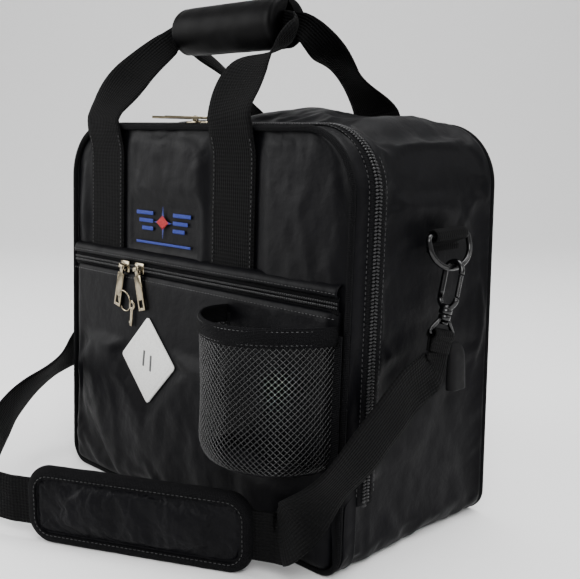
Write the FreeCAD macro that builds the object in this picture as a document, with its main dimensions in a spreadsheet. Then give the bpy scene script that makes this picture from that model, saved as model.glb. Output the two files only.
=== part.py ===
"""Flight bag: a soft, upright crew bag with a zipped front lid, carry handles and a shoulder strap.

Millimetres, +Z up, the front faces -Y.  The origin is the middle of the flat base.
The front face leans back, so everything sewn to it is drawn in a "face frame": x across the
bag, y backwards from the outside of the front panel and z up along it.
"""
import FreeCAD, Part
import math
import os
import Sketcher

os.makedirs("parts", exist_ok=True)
Vector = FreeCAD.Vector
Rotation = FreeCAD.Rotation
Placement = FreeCAD.Placement
X_AXIS = Vector(1, 0, 0)
Y_AXIS = Vector(0, 1, 0)
Z_AXIS = Vector(0, 0, 1)

doc = FreeCAD.newDocument("flight_bag")
sizes = doc.addObject("Spreadsheet::Sheet", "sizes")

DRIVING_SIZES = (
    ("bag_width", 350), ("bag_depth", 170), ("bag_height", 320), ("face_setback", 14),
    ("shoulder_radius", 48), ("cloth", 2.5), ("gap", 0.3),
    ("lid_low", 50.3), ("zip_depth", 20), ("zip_half", 4.85), ("zip_thick", 4), ("zip_end", 62),
    ("piping_radius", 2.6),
    ("pocket_depth", 7), ("pocket_top", 193), ("pocket_side", 166), ("pocket_zip_width", 10),
    ("welt_height", 9),
    ("bottle_x", 110), ("bottle_half", 57), ("bottle_out", 56), ("bottle_low", 76),
    ("bottle_high", 184), ("bottle_wall", 1.6), ("binding_height", 13), ("binding_wall", 3),
    ("handle_web", 50), ("web_thick", 2.2), ("handle_left", -120), ("handle_right", 50),
    ("leg_low", 213), ("loop_gap", 4.5), ("grip_length", 132), ("grip_radius", 21), ("grip_bore", 15),
    ("grip_x", -31), ("grip_z", 400), ("flap_gap", 0.4),
    ("tag_half", 38), ("tag_thick", 1.2), ("tag_x", -48), ("tag_z", 121),
    ("badge_x", -39), ("badge_z", 235), ("badge_width", 84), ("badge_height", 36),
    ("strap_web", 38), ("ring_y", 20), ("ring_z", 240), ("ring_out", 6.2),
    ("ring_width", 52), ("ring_drop", 25), ("ring_wire", 4.4), ("ring_tilt", 15),
    ("hook_tilt", 16), ("hook_wire", 4.4), ("hook_inner", 10), ("hook_loop", 30),
    ("shank_radius", 2.0), ("running", 0.06), ("eye_width", 33), ("eye_window", 9),
    ("port_y", 41), ("port_z", 136), ("port_width", 22), ("port_height", 38), ("port_out", 7),
    ("pad_length", 188), ("pad_height", 62), ("pad_thick", 15), ("pad_turn", 26.6),
    ("pad_x", 40), ("pad_y", -164), ("pad_slot", 4.4), ("pad_slot_height", 42),
    ("slider_length", 13), ("slider_width", 9.5), ("slider_plate", 1.6), ("pull_length", 36),
    ("pull_width", 9), ("pull_thick", 2), ("pin_radius", 0.9), ("collar", 5),
    ("glide_length", 34), ("glide_width", 49), ("key_ring", 9), ("pad_travel", 8),
)
for row, (alias, number) in enumerate(DRIVING_SIZES, start=1):
    sizes.set("A%d" % row, str(number))
    sizes.setAlias("A%d" % row, alias)
doc.recompute()


def size(alias):
    return float(sizes.get(alias))


CLOTH = size("cloth")
GAP = size("gap")
HALF_WIDTH = size("bag_width") / 2
HALF_DEPTH = size("bag_depth") / 2
LEAN = math.degrees(math.atan2(size("face_setback"), size("bag_height")))
WORLD = Placement()
FACE = Placement(Vector(0, -HALF_DEPTH, 0), Rotation(X_AXIS, -LEAN))
parts = []


def shift(x=0, y=0, z=0):
    return Placement(Vector(x, y, z), Rotation())


def keep(feature, label):
    """Give a sub-part its name and put it on the list of what is written."""
    feature.Label = label
    parts.append(feature)
    return feature


# ------------------------------------------------------------------ building blocks
def new_body(label, placement=WORLD):
    body = doc.addObject("PartDesign::Body", label)
    body.Placement = placement
    return keep(body, label)


def sketch_on(body, role, name):
    """A sketch on one of the body's own origin planes."""
    plane = next(item for item in body.Origin.OriginFeatures if item.Role == role)
    sketch = body.newObject("Sketcher::SketchObject", name)
    sketch.AttachmentSupport = [(plane, "")]
    sketch.MapMode = "FlatFace"
    return sketch


def pad(body, sketch, length, reverse=False, both=False):
    feature = body.newObject("PartDesign::Pad", sketch.Name + "_pad")
    feature.Profile = sketch
    feature.Reversed = reverse
    feature.Midplane = both
    feature.setExpression("Length", length)
    return feature


def cut_through(body, sketch):
    """Pocket a sketch through everything on both sides of its plane."""
    feature = body.newObject("PartDesign::Pocket", sketch.Name + "_cut")
    feature.Profile = sketch
    feature.Type = "ThroughAll"
    feature.Midplane = True
    return feature


def closed_lines(sketch, points):
    """A closed outline of straight lines whose corners stay joined."""
    first = sketch.GeometryCount
    count = len(points)
    for index, start in enumerate(points):
        end = points[(index + 1) % count]
        sketch.addGeometry(Part.LineSegment(Vector(*start, 0), Vector(*end, 0)), False)
    for index in range(count):
        after = first + (index + 1) % count
        sketch.addConstraint(Sketcher.Constraint("Coincident", first + index, 2, after, 1))


def drive(sketch, kind, *where, name, by):
    """Add one dimension and bind it to the sheet."""
    number = sketch.addConstraint(Sketcher.Constraint(kind, *where))
    sketch.renameConstraint(number, name)
    sketch.setExpression("Constraints." + name, by)


def rectangle(sketch, width, low, high, centre="0"):
    """A rectangle whose width, middle and two heights are expressions on the sheet."""
    half = evaluate(width) / 2
    middle = evaluate(centre)
    bottom, top = evaluate(low), evaluate(high)
    closed_lines(sketch, [(middle - half, bottom), (middle + half, bottom),
                          (middle + half, top), (middle - half, top)])
    for line in (0, 2):
        sketch.addConstraint(Sketcher.Constraint("Horizontal", line))
    for line in (1, 3):
        sketch.addConstraint(Sketcher.Constraint("Vertical", line))
    drive(sketch, "DistanceX", 0, 1, 0, 2, 2 * half, name="wide", by=width)
    drive(sketch, "DistanceX", -1, 1, 0, 1, middle - half, name="side",
          by="(%s) - (%s) / 2" % (centre, width))
    drive(sketch, "DistanceY", -1, 1, 0, 1, bottom, name="bottom", by=low)
    drive(sketch, "DistanceY", -1, 1, 2, 1, top, name="top", by=high)


def evaluate(expression):
    """The number that an expression on the sheet stands for."""
    return float(sizes.evalExpression(expression.replace("sizes.", "")))


def arch(sketch, inset, low):
    """The bag's outline seen from the front: square at the bottom, round at both shoulders."""
    half = HALF_WIDTH - inset
    high = size("bag_height") - inset
    radius = size("shoulder_radius") - inset
    flat = half - radius
    spring = high - radius
    corner = Vector(flat, spring, 0)
    other = Vector(-flat, spring, 0)
    first = sketch.GeometryCount
    quarter = math.pi / 2
    sketch.addGeometry([
        Part.LineSegment(Vector(-half, low, 0), Vector(half, low, 0)),
        Part.LineSegment(Vector(half, low, 0), Vector(half, spring, 0)),
        Part.ArcOfCircle(Part.Circle(corner, Vector(0, 0, 1), radius), 0, quarter),
        Part.LineSegment(Vector(flat, high, 0), Vector(-flat, high, 0)),
        Part.ArcOfCircle(Part.Circle(other, Vector(0, 0, 1), radius), quarter, math.pi),
        Part.LineSegment(Vector(-half, spring, 0), Vector(-half, low, 0))], False)
    bottom, right, right_arc, top, left_arc, left = range(first, first + 6)
    for rule in (("Coincident", bottom, 2, right, 1), ("Tangent", right, 2, right_arc, 1),
                 ("Tangent", right_arc, 2, top, 1), ("Tangent", top, 2, left_arc, 1),
                 ("Tangent", left_arc, 2, left, 1), ("Coincident", left, 2, bottom, 1),
                 ("Horizontal", top), ("Vertical", right), ("Vertical", left),
                 ("Equal", right_arc, left_arc), ("Symmetric", bottom, 1, bottom, 2, -2)):
        sketch.addConstraint(Sketcher.Constraint(*rule))
    tag = "_%d" % first
    drive(sketch, "DistanceX", bottom, 1, bottom, 2, 2 * half, name="wide" + tag,
          by="sizes.bag_width - %g" % (2 * inset))
    drive(sketch, "Radius", right_arc, radius, name="shoulder" + tag,
          by="sizes.shoulder_radius - %g" % inset)
    drive(sketch, "DistanceY", -1, 1, top, 1, high, name="height" + tag,
          by="sizes.bag_height - %g" % inset)
    sketch.addConstraint(Sketcher.Constraint("DistanceY", -1, 1, bottom, 1, low))


def arch_plate(label, inset, low, depth, placement):
    """A plate with the bag's outline."""
    body = new_body(label, placement)
    sketch = sketch_on(body, "XZ_Plane", label + "_outline")
    arch(sketch, inset, low)
    pad(body, sketch, depth, reverse=True)
    return body


def plate(label, width, low, high, depth, placement, centre="0"):
    """A flat rectangular piece standing in the x-z plane, its thickness running backwards."""
    body = new_body(label, placement)
    sketch = sketch_on(body, "XZ_Plane", label + "_outline")
    rectangle(sketch, width, low, high, centre)
    pad(body, sketch, depth, reverse=True)
    return body


def solid(label, shape, placement=WORLD):
    """A piece that neither a sketched body nor a primitive fits, such as ruled webbing."""
    feature = doc.addObject("Part::Feature", label)
    feature.Shape = shape
    feature.Placement = placement
    return keep(feature, label)


def box(x, y, z, lx, ly, lz):
    return Part.makeBox(lx, ly, lz, Vector(x, y, z))


def rod(start, along, length, radius):
    return Part.makeCylinder(radius, length, Vector(*start), along)


def webbing(stations, thick):
    """Flat webbing through stations of (middle, across, width), ruled from one to the next."""
    rings = []
    for index, (middle, across, width) in enumerate(stations):
        before = Vector(*stations[max(index - 1, 0)][0])
        after = Vector(*stations[min(index + 1, len(stations) - 1)][0])
        along = (after - before).normalize()
        side = Vector(*across)
        side = (side - along * side.dot(along)).normalize()
        normal = along.cross(side).normalize()
        centre = Vector(*middle)
        half, deep = side * (width / 2), normal * (thick / 2)
        corners = [centre - half - deep, centre + half - deep,
                   centre + half + deep, centre - half + deep]
        rings.append(Part.makePolygon(corners + corners[:1]))
    return Part.makeLoft(rings, True, True)


# ------------------------------------------------------------------ the fixed shell
def face_point(x, y, z):
    return FACE.multVec(Vector(x, y, z))


REAR_EDGE = size("zip_depth") + GAP / 2 + size("zip_half")
FRONT_EDGE = size("zip_depth") - GAP / 2 - size("zip_half")
SPRING = size("bag_height") - size("shoulder_radius")
SEAM = SPRING - 4


def gusset_edge(z):
    """Where the side and top cloth starts behind the main zip, at a height."""
    lean = math.radians(LEAN)
    return -HALF_DEPTH + (REAR_EDGE + GAP / 3) / math.cos(lean) + z * math.tan(lean)


def build_shell():
    """Back, base, sides and the top with its round shoulders."""
    arch_plate("back_panel", 0, 0, "sizes.cloth", shift(y=HALF_DEPTH - CLOTH))
    base = new_body("base_panel")
    outline = sketch_on(base, "XY_Plane", "base_outline")
    front = -HALF_DEPTH + CLOTH
    closed_lines(outline, [(-HALF_WIDTH, front), (HALF_WIDTH, front),
                           (HALF_WIDTH, HALF_DEPTH - CLOTH), (-HALF_WIDTH, HALF_DEPTH - CLOTH)])
    pad(base, outline, "sizes.cloth")
    for side, sign in (("left", -1), ("right", 1)):
        body = new_body("side_panel_" + side,
                        shift(x=HALF_WIDTH - CLOTH if sign > 0 else -HALF_WIDTH))
        sketch = sketch_on(body, "YZ_Plane", side + "_side_outline")
        back = HALF_DEPTH - CLOTH
        toe = face_point(0, CLOTH + GAP / 3, CLOTH)
        toe_top = face_point(0, CLOTH + GAP / 3, size("lid_low") - GAP)
        ledge = face_point(0, REAR_EDGE + GAP / 3, size("lid_low") - GAP)
        closed_lines(sketch, [(toe.y, CLOTH), (back, CLOTH), (back, SEAM),
                              (gusset_edge(SEAM), SEAM), (ledge.y, ledge.z),
                              (toe_top.y, toe_top.z)])
        pad(body, sketch, "sizes.cloth")
    cap = new_body("top_panel", shift(y=HALF_DEPTH - CLOTH))
    outside = sketch_on(cap, "XZ_Plane", "top_outline")
    arch(outside, 0, SEAM)
    pad(cap, outside, "sizes.bag_depth")
    inside = sketch_on(cap, "XZ_Plane", "top_inside")
    arch(inside, CLOTH, SEAM - CLOTH)
    cut_through(cap, inside)
    trim = sketch_on(cap, "YZ_Plane", "top_front_edge")
    below, above = SEAM - CLOTH, size("bag_height") + CLOTH
    far = -size("bag_depth") - CLOTH
    closed_lines(trim, [(gusset_edge(below) - HALF_DEPTH + CLOTH, below),
                        (gusset_edge(above) - HALF_DEPTH + CLOTH, above), (far, above), (far, below)])
    cut_through(cap, trim)


def ring_sweep(radius, inset, low, y):
    """A round cord that follows the bag's outline down to a height on both sides."""
    half = HALF_WIDTH - inset
    high = size("bag_height") - inset
    turn = size("shoulder_radius") - inset
    flat, spring = half - turn, high - turn
    diagonal = turn * math.sqrt(0.5)
    path = Part.Wire([
        Part.LineSegment(Vector(half, y, low), Vector(half, y, spring)).toShape(),
        Part.Arc(Vector(half, y, spring), Vector(flat + diagonal, y, spring + diagonal),
                 Vector(flat, y, high)).toShape(),
        Part.LineSegment(Vector(flat, y, high), Vector(-flat, y, high)).toShape(),
        Part.Arc(Vector(-flat, y, high), Vector(-flat - diagonal, y, spring + diagonal),
                 Vector(-half, y, spring)).toShape(),
        Part.LineSegment(Vector(-half, y, spring), Vector(-half, y, low)).toShape()])
    section = Part.Wire(Part.Circle(Vector(half, y, low), Z_AXIS, radius).toShape())
    return path.makePipeShell([section], True, False)


def u_strip(outset, low, y0, depth, thick):
    """A flat strip standing on edge that follows the bag's outline down both sides."""
    half = HALF_WIDTH + outset
    high = size("bag_height") + outset
    turn = size("shoulder_radius") + outset

    def outline(step):
        side, top, bend = half - step, high - step, turn - step
        flat, spring, diagonal = side - bend, top - bend, bend * math.sqrt(0.5)
        return ((side, low), (side, spring), (flat + diagonal, spring + diagonal),
                (flat, top), (-flat, top), (-flat - diagonal, spring + diagonal),
                (-side, spring), (-side, low))

    def edges(points):
        a, b, c, d, e, f, g, h = [Vector(x, y0, z) for x, z in points]
        return [Part.LineSegment(a, b).toShape(), Part.Arc(b, c, d).toShape(),
                Part.LineSegment(d, e).toShape(), Part.Arc(e, f, g).toShape(),
                Part.LineSegment(g, h).toShape()]

    outer, inner = outline(0), outline(thick)
    joins = [Part.LineSegment(Vector(outer[i][0], y0, low), Vector(inner[i][0], y0, low)).toShape()
             for i in (0, -1)]
    wire = Part.Wire(Part.__sortEdges__(edges(outer) + edges(inner) + joins))
    return Part.Face(wire).extrude(Vector(0, depth, 0))


def build_edges():
    """Piping round the back and front, and the two halves of the main zip."""
    cord = size("piping_radius")
    low = size("lid_low")
    rear_y = HALF_DEPTH + cord
    solid("rear_piping", ring_sweep(cord, cord, cord, rear_y))
    solid("front_piping", ring_sweep(cord, cord, low, -cord - GAP / 2), FACE)
    feet = [rod((sign * (HALF_WIDTH - cord), -cord - GAP / 2, 3), Z_AXIS, low - GAP - 3, cord)
            for sign in (-1, 1)]
    solid("front_piping_lower", Part.makeCompound(feet), FACE)
    half, thick = size("zip_half"), size("zip_thick")
    proud = 1.2
    solid("main_zip_front", u_strip(proud, size("zip_end"), FRONT_EDGE, half, thick), FACE)
    solid("main_zip_rear", u_strip(proud, size("zip_end"), size("zip_depth") + GAP / 2,
                                   half, thick), FACE)
    stops = [box(sign * (HALF_WIDTH - 0.8) - 1.6, size("zip_depth") + GAP / 2,
                 size("lid_low") + 1, 3.2, half - 1, 9) for sign in (-1, 1)]
    solid("main_zip_stops", Part.makeCompound(stops), FACE)


# ------------------------------------------------------------------ the lid
def build_lid():
    """Front panel with its narrow return band, pockets, tag and badge."""
    plate("front_panel_lower", "sizes.bag_width", "sizes.cloth + sizes.gap", "sizes.lid_low - sizes.gap",
          "sizes.cloth", FACE)
    arch_plate("front_panel", 0, size("lid_low"), "sizes.cloth", FACE)
    band = u_strip(0, size("lid_low"), CLOTH, FRONT_EDGE - CLOTH, CLOTH)
    solid("lid_band", band, FACE)
    deep = size("pocket_depth")
    plate("front_pocket", "2 * sizes.pocket_side", "sizes.lid_low", "sizes.pocket_top",
          "sizes.pocket_depth", FACE.multiply(shift(y=-deep)))
    plate("front_pocket_lower", "2 * sizes.pocket_side", "3", "sizes.lid_low - sizes.gap",
          "sizes.pocket_depth", FACE.multiply(shift(y=-deep)))
    plate("pocket_zip", "2 * sizes.pocket_side", "sizes.pocket_top",
          "sizes.pocket_top + sizes.pocket_zip_width", "sizes.pocket_depth - 2",
          FACE.multiply(shift(y=2 - deep)))
    plate("pocket_welt", "2 * sizes.pocket_side", "sizes.pocket_top + sizes.pocket_zip_width",
          "sizes.pocket_top + sizes.pocket_zip_width + sizes.welt_height", "sizes.pocket_depth",
          FACE.multiply(shift(y=-deep)))
    tag = new_body("tag", FACE.multiply(shift(x=size("tag_x"), y=-deep - size("tag_thick"),
                                              z=size("tag_z"))))
    outline = sketch_on(tag, "XZ_Plane", "tag_outline")
    reach = size("tag_half")
    closed_lines(outline, [(-reach, 0), (0, -reach), (reach, 0), (0, reach)])
    pad(tag, outline, "sizes.tag_thick", reverse=True)
    plate("badge", "sizes.badge_width", "sizes.badge_z - sizes.badge_height / 2",
          "sizes.badge_z + sizes.badge_height / 2", "1", FACE.multiply(shift(y=-1)),
          centre="sizes.badge_x")


def half_tube(half, out, low, high):
    """A solid half-oval column standing against the y = 0 plane."""
    curve = Part.Ellipse(Vector(0, 0, low), half, out) if half > out else Part.Circle(
        Vector(0, 0, low), Z_AXIS, half)
    arc = Part.Arc(curve, math.pi, 2 * math.pi).toShape()
    chord = Part.LineSegment(Vector(-half, 0, low), Vector(half, 0, low)).toShape()
    return Part.Face(Part.Wire([arc, chord])).extrude(Vector(0, 0, high - low))


def build_bottle_pocket():
    """Mesh bottle pocket: a half-oval wall with a floor, bound round its open mouth."""
    half, out = size("bottle_half"), size("bottle_out")
    low, high = size("bottle_low"), size("bottle_high")
    wall, rim = size("bottle_wall"), size("binding_wall")
    place = FACE.multiply(shift(x=size("bottle_x"), y=-size("pocket_depth") - GAP))
    top = high - size("binding_height")
    outer = half_tube(half, out, low, top)
    inner = half_tube(half - wall, out - wall, low + wall, top + 1)
    solid("bottle_pocket", outer.cut(inner), place)
    band = half_tube(half + 0.7, out + 0.7, top, high)
    band = band.cut(half_tube(half + 0.7 - rim, out + 0.7 - rim, top - 1, high + 1))
    solid("bottle_pocket_binding", band, place)


# ------------------------------------------------------------------ handles and grip
def build_handles():
    """Two webbing loops: their legs are sewn down the bag and meet in the padded grip."""
    web, thick = size("handle_web"), size("web_thick")
    low = size("leg_low")
    cord = size("piping_radius")
    top = size("bag_height") - 2 * cord - GAP
    front_groove = ring_sweep(cord + GAP / 2, cord, low, -cord - GAP / 2)
    rear_groove = ring_sweep(cord + GAP / 2, cord, low, HALF_DEPTH + cord)
    for side, x in (("left", size("handle_left")), ("right", size("handle_right"))):
        leg = box(x - web / 2, -thick, low, web, thick, top - low)
        solid("front_handle_leg_" + side, leg.cut(front_groove), FACE)
        back_leg = box(x - web / 2, HALF_DEPTH, low, web, thick, top - low)
        solid("rear_handle_leg_" + side, back_leg.cut(rear_groove))
    half = size("grip_length") / 2
    centre_x, centre_z = size("grip_x"), size("grip_z")
    start_z = size("bag_height") + size("loop_gap")
    for name, sign, edge in (("front", -1, face_point(0, -thick / 2, start_z).y),
                             ("rear", 1, HALF_DEPTH + thick / 2)):
        stations = []
        for x, toward in ((size("handle_left"), 1), (size("handle_right"), -1)):
            end_x = centre_x - toward * (half - 4)
            start = (x, edge, start_z)
            low_bend = (x, edge - sign * 3, 334)
            middle = (x + toward * 9, edge * 0.62, 364)
            upper = (end_x - toward * 15, sign * 7.5, 397)
            inside = (end_x + toward * 9, sign * 5, centre_z)
            leg = [(start, (1, 0, 0), web), (low_bend, (1, 0, 0), web * 0.96),
                   (middle, (0.8, sign * -0.5, 0.1 * toward), web * 0.66),
                   (upper, (0.3, 0.2 * sign, -toward), 17),
                   (inside, (0, 0, -toward), 14)]
            stations.append(leg)
        left, right = stations
        flipped = [(point, tuple(-c for c in across) if index > 2 else across, width)
                   for index, (point, across, width) in enumerate(right)]
        loop = [webbing(left, 3.0), webbing(flipped, 3.0)]
        core = box(centre_x - half + 13, sign * 5 - 1.5, centre_z - 7, 2 * half - 26, 3, 14)
        solid(name + "_handle_loop", Part.makeCompound(loop + [core]))


def build_grip():
    """Padded wrap in two halves: the rear half stays put and the front flap lifts."""
    radius, bore, half = size("grip_radius"), size("grip_bore"), size("grip_length") / 2
    start = (size("grip_x") - half, 0, size("grip_z"))
    tube = rod(start, X_AXIS, 2 * half, radius).cut(rod(start, X_AXIS, 2 * half, bore))
    gap = size("flap_gap")
    rear = box(start[0] - 1, gap / 2, start[2] - 30, 2 * half + 2, 40, 60)
    front = box(start[0] - 1, -40 - gap / 2, start[2] - 30, 2 * half + 2, 40, 60)
    solid("grip_back", tube.common(rear))
    solid("grip_flap", tube.common(front))


# ------------------------------------------------------------------ shoulder strap hardware
def hook_frame(sign):
    """Where the bow of the D-ring carries the snap hook, with the hook's own lean."""
    tilt = math.radians(size("ring_tilt"))
    bar_x = HALF_WIDTH + size("ring_out")
    drop = size("ring_drop")
    x = sign * (bar_x + drop * math.sin(tilt))
    z = size("ring_z") - drop * math.cos(tilt)
    return Placement(Vector(x, size("ring_y"), z), Rotation(X_AXIS, -size("hook_tilt")))


def d_ring(side, sign):
    """D-ring drawn hanging from the origin: a straight bar, two short sides and an oval bow."""
    bar_x = sign * (HALF_WIDTH + size("ring_out"))
    place = Placement(Vector(bar_x, size("ring_y"), size("ring_z")),
                      Rotation(Y_AXIS, -sign * size("ring_tilt")))
    wire = size("ring_wire")
    half = size("ring_width") / 2 - wire / 2
    turn, knee, drop = 4, -8, size("ring_drop")
    near = turn * (1 - math.sqrt(0.5))

    def corner(flip):
        points = [Vector(0, flip * (half - turn), 0), Vector(0, flip * (half - near), -near),
                  Vector(0, flip * half, -turn)]
        return Part.Arc(*(points if flip > 0 else points[::-1])).toShape()

    oval = Part.Ellipse(Vector(0, half, knee), Vector(0, 0, -drop), Vector(0, 0, knee))
    bow = Part.Arc(oval, 0, math.pi).toShape()
    if bow.valueAt(bow.FirstParameter + 1e-3).z > knee:
        bow = Part.Arc(oval, math.pi, 2 * math.pi).toShape()
    edges = [Part.LineSegment(Vector(0, turn - half, 0), Vector(0, half - turn, 0)).toShape(),
             corner(1),
             Part.LineSegment(Vector(0, half, -turn), Vector(0, half, knee)).toShape(), bow,
             Part.LineSegment(Vector(0, -half, knee), Vector(0, -half, -turn)).toShape(),
             corner(-1)]
    path = Part.Wire(Part.__sortEdges__(edges))
    section = Part.Wire(Part.Circle(Vector(), Z_AXIS, wire / 2).toShape())
    start = path.OrderedEdges[0]
    heading = start.tangentAt(start.FirstParameter)
    section.Placement = Placement(path.OrderedVertexes[0].Point, Rotation(Z_AXIS, heading))
    return solid("d_ring_" + side, path.makePipeShell([section], True, True), place)


def ring_tab(side, sign):
    """Webbing tab: a loop round the ring's bar and a tail sewn flat to the side."""
    web, out = size("strap_web"), size("ring_out")
    y0 = size("ring_y") - web / 2
    bar = (sign * (HALF_WIDTH + out), y0, size("ring_z"))
    loop = rod(bar, Y_AXIS, web, out - GAP).cut(rod(bar, Y_AXIS, web, 3.5))
    inner = HALF_WIDTH + GAP / 3
    x0 = inner if sign > 0 else -inner - 2
    tail = box(x0, y0, bar[2] - 4, 2, web, 22)
    solid("ring_tab_" + side, loop.fuse(tail))


def snap_hook(side, sign):
    """Swivel snap hook: a fixed loop with a gate, a shank turning in the strap's eye."""
    place = hook_frame(sign)
    wire, inner, loop = size("hook_wire"), size("hook_inner"), size("hook_loop")
    clear = 0.4
    top = size("ring_wire") / 2 + clear
    side_x = inner / 2 + wire / 2
    high, low = top + wire / 2 - inner / 2 - wire / 2, top - loop + inner / 2
    radius = side_x
    path = Part.Wire([
        Part.LineSegment(Vector(-side_x, 0, low), Vector(-side_x, 0, high)).toShape(),
        Part.Arc(Vector(-side_x, 0, high), Vector(0, 0, high + radius),
                 Vector(side_x, 0, high)).toShape()])
    section = Part.Wire(Part.Circle(Vector(-side_x, 0, low), Z_AXIS, wire / 2).toShape())
    crook = path.makePipeShell([section], True, False)
    bottom = low - radius
    foot = box(-side_x - wire / 2, -wire / 2, bottom, 2 * side_x + wire, wire, radius)
    nose = rod((side_x, 0, high - 1.5), Z_AXIS, 1.5, wire / 2)
    neck = bottom - size("collar")
    collar = rod((0, 0, neck), Z_AXIS, size("collar") + 0.01, 5)
    shank_low = neck - 6
    shank = rod((0, 0, shank_low), Z_AXIS, 6.01, size("shank_radius"))
    head = rod((0, 0, shank_low - 1.8), Z_AXIS, 1.81, 3.4)
    hook = crook.fuse([foot, nose, collar, shank, head])
    mirror = Placement() if sign > 0 else Placement(Vector(), Rotation(Z_AXIS, 180))
    solid("snap_hook_" + side, hook.removeSplitter(), place.multiply(mirror))
    gate_low = low + 0.5
    gate_high = high - 1.5 - 0.5
    gate = rod((side_x, 0, gate_low), Z_AXIS, gate_high - gate_low, wire / 2 - 0.2)
    solid("hook_gate_" + side, gate, place.multiply(mirror))
    eye_top = neck - GAP
    window, wide = size("eye_window"), size("eye_width")
    bar = 3.8
    plate_shape = box(-bar / 2, -wide / 2, eye_top - 4.4 - window - bar, bar, wide,
                      4.4 + window + bar)
    hole = box(-bar, -wide / 2 + bar, eye_top - 4.4 - window, 2 * bar, wide - 2 * bar, window)
    boss = rod((0, 0, eye_top - 4.4), Z_AXIS, 4.4, 4.6)
    bore = rod((0, 0, eye_top - 5), Z_AXIS, 6, size("shank_radius") + size("running"))
    solid("swivel_eye_" + side, plate_shape.cut(hole).fuse(boss).cut(bore), place)
    bar_z = eye_top - 4.4 - window - bar / 2
    width = wide - 2 * bar - 1.2
    wrap = rod((0, -width / 2, bar_z), Y_AXIS, width, 4.6)
    wrap = wrap.cut(rod((0, -width / 2, bar_z), Y_AXIS, width, 2.9))
    tail = box(-1.6, -width / 2, bar_z - 14, 3.2, width, 10)
    solid("strap_end_" + side, wrap.fuse(tail), place)
    return place.multVec(Vector(0, 0, bar_z - 14))


def build_strap(ends):
    """The shoulder strap: from each hook to the pad, which stands on the floor in front."""
    web, thick = size("strap_web"), size("web_thick")
    turn = math.radians(size("pad_turn"))
    along = Vector(math.cos(turn), math.sin(turn), 0)
    pad_z = size("pad_height") / 2 + 0.2
    middle = Vector(size("pad_x"), size("pad_y"), pad_z)
    half = size("pad_length") / 2
    free = size("pad_travel") + 4
    right, left = middle + along * (half + free), middle - along * (half + free)
    lean = Rotation(X_AXIS, -size("hook_tilt"))
    down, across = lean.multVec(-Z_AXIS), lean.multVec(-Y_AXIS)
    upright = (0, 0, 1)

    def hanging(end):
        """The strap's first stretch, in line with the sewn loop above it."""
        return [(tuple(end + down * 0.5), tuple(across), 24),
                (tuple(end + down * 10), tuple(across), 28)]

    end = ends["right"]
    stations = hanging(end) + [
        ((end.x + 3, end.y - 17, end.z - 13.5), (0, -0.6, 0.6), 33),
        ((193, -36, 134), (0, -0.45, 0.89), web), ((194, -60, 119), (0, -0.5, 0.86), web),
        ((192, -84, 100), (0.05, -0.5, 0.86), web), ((184, -106, 79), (0.3, -0.3, 0.9), web),
        ((168, -119, 56), (0.25, 0, 1), web), ((153, -119, 39), (0.1, 0, 1), web),
        (tuple(right + along * 6), upright, web), (tuple(right), upright, web)]
    solid("strap_right", webbing(stations, thick))
    joint_gap = along * 0.1
    core = [(tuple(right - joint_gap), upright, web), (tuple(left + joint_gap), upright, web)]
    solid("strap_in_pad", webbing(core, thick))
    glide, run = Vector(-101, -209.5, 41), Vector(22, -13, -10).normalize()
    near, far = size("glide_length") / 2 + 1, size("glide_length") / 2 + 7
    end = ends["left"]
    stations = hanging(end) + [
        ((end.x - 1, end.y - 15, end.z - 18), (0, -0.6, 0.6), 33),
        ((-193, -30, 128), (0, -0.5, 0.85), web), ((-199, -57, 107), (0.2, -0.3, 0.9), web),
        ((-196, -92, 88), (0.6, 0.1, 0.8), web), ((-176, -140, 72), (0.5, -0.3, 0.8), web),
        ((-146, -177, 60), (0.2, -0.3, 0.95), web)]
    stations += [(tuple(glide + run * step), upright, web) for step in (-far, -near, near, far)]
    stations += [(tuple(left - along * 6), upright, web), (tuple(left), upright, web)]
    solid("strap_left", webbing(stations, thick))
    tri_glide(glide, run)
    return middle, along


def tri_glide(middle, along):
    """Strap adjuster: two side rails, end bars before the webbing and a middle bar behind it."""
    long, wide = size("glide_length"), size("glide_width")
    rail, deep, bar = 3.4, 8.2, 5
    clear = size("web_thick") / 2 + GAP
    pieces = [box(-long / 2, -deep / 2, sign * (wide - rail) / 2 - rail / 2, long, deep, rail)
              for sign in (-1, 1)]
    for x, front in ((-long / 2, True), (long / 2 - bar, True), (-bar / 2, False)):
        y = -deep / 2 if front else clear
        pieces.append(box(x, y, -wide / 2, bar, deep / 2 - clear, wide))
    sideways = Z_AXIS.cross(along).normalize()
    turn = Rotation(along, sideways, along.cross(sideways), "XZY")
    solid("strap_slider", pieces[0].fuse(pieces[1:]).removeSplitter(), Placement(middle, turn))


def build_pad(middle, along):
    """Padded shoulder rest with round ends and a tunnel for the strap."""
    length, high, deep = size("pad_length"), size("pad_height"), size("pad_thick")
    bend = 20
    shape = box(-length / 2, -deep / 2, -high / 2, length, deep, high)
    upright = [edge for edge in shape.Edges if abs(edge.Vertexes[0].Y - edge.Vertexes[1].Y) > 1]
    shape = shape.makeFillet(bend, upright)
    slot = box(-length / 2 - 1, -size("pad_slot") / 2, -size("pad_slot_height") / 2,
               length + 2, size("pad_slot"), size("pad_slot_height"))
    solid("shoulder_pad", shape.cut(slot),
          Placement(middle, Rotation(Z_AXIS, size("pad_turn"))))


def build_port():
    """Hood over the cable port in the right side."""
    wide, high, out = size("port_width"), size("port_height"), size("port_out")
    y0, z0 = size("port_y") - wide / 2, size("port_z") - high / 2
    hood = box(HALF_WIDTH + GAP / 3, y0, z0, out, wide, high)
    mouth = box(HALF_WIDTH - 1, y0 + 2, z0 - 1, out - 0.6, wide - 4, high - 3)
    solid("cable_port_hood", hood.cut(mouth))


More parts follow.
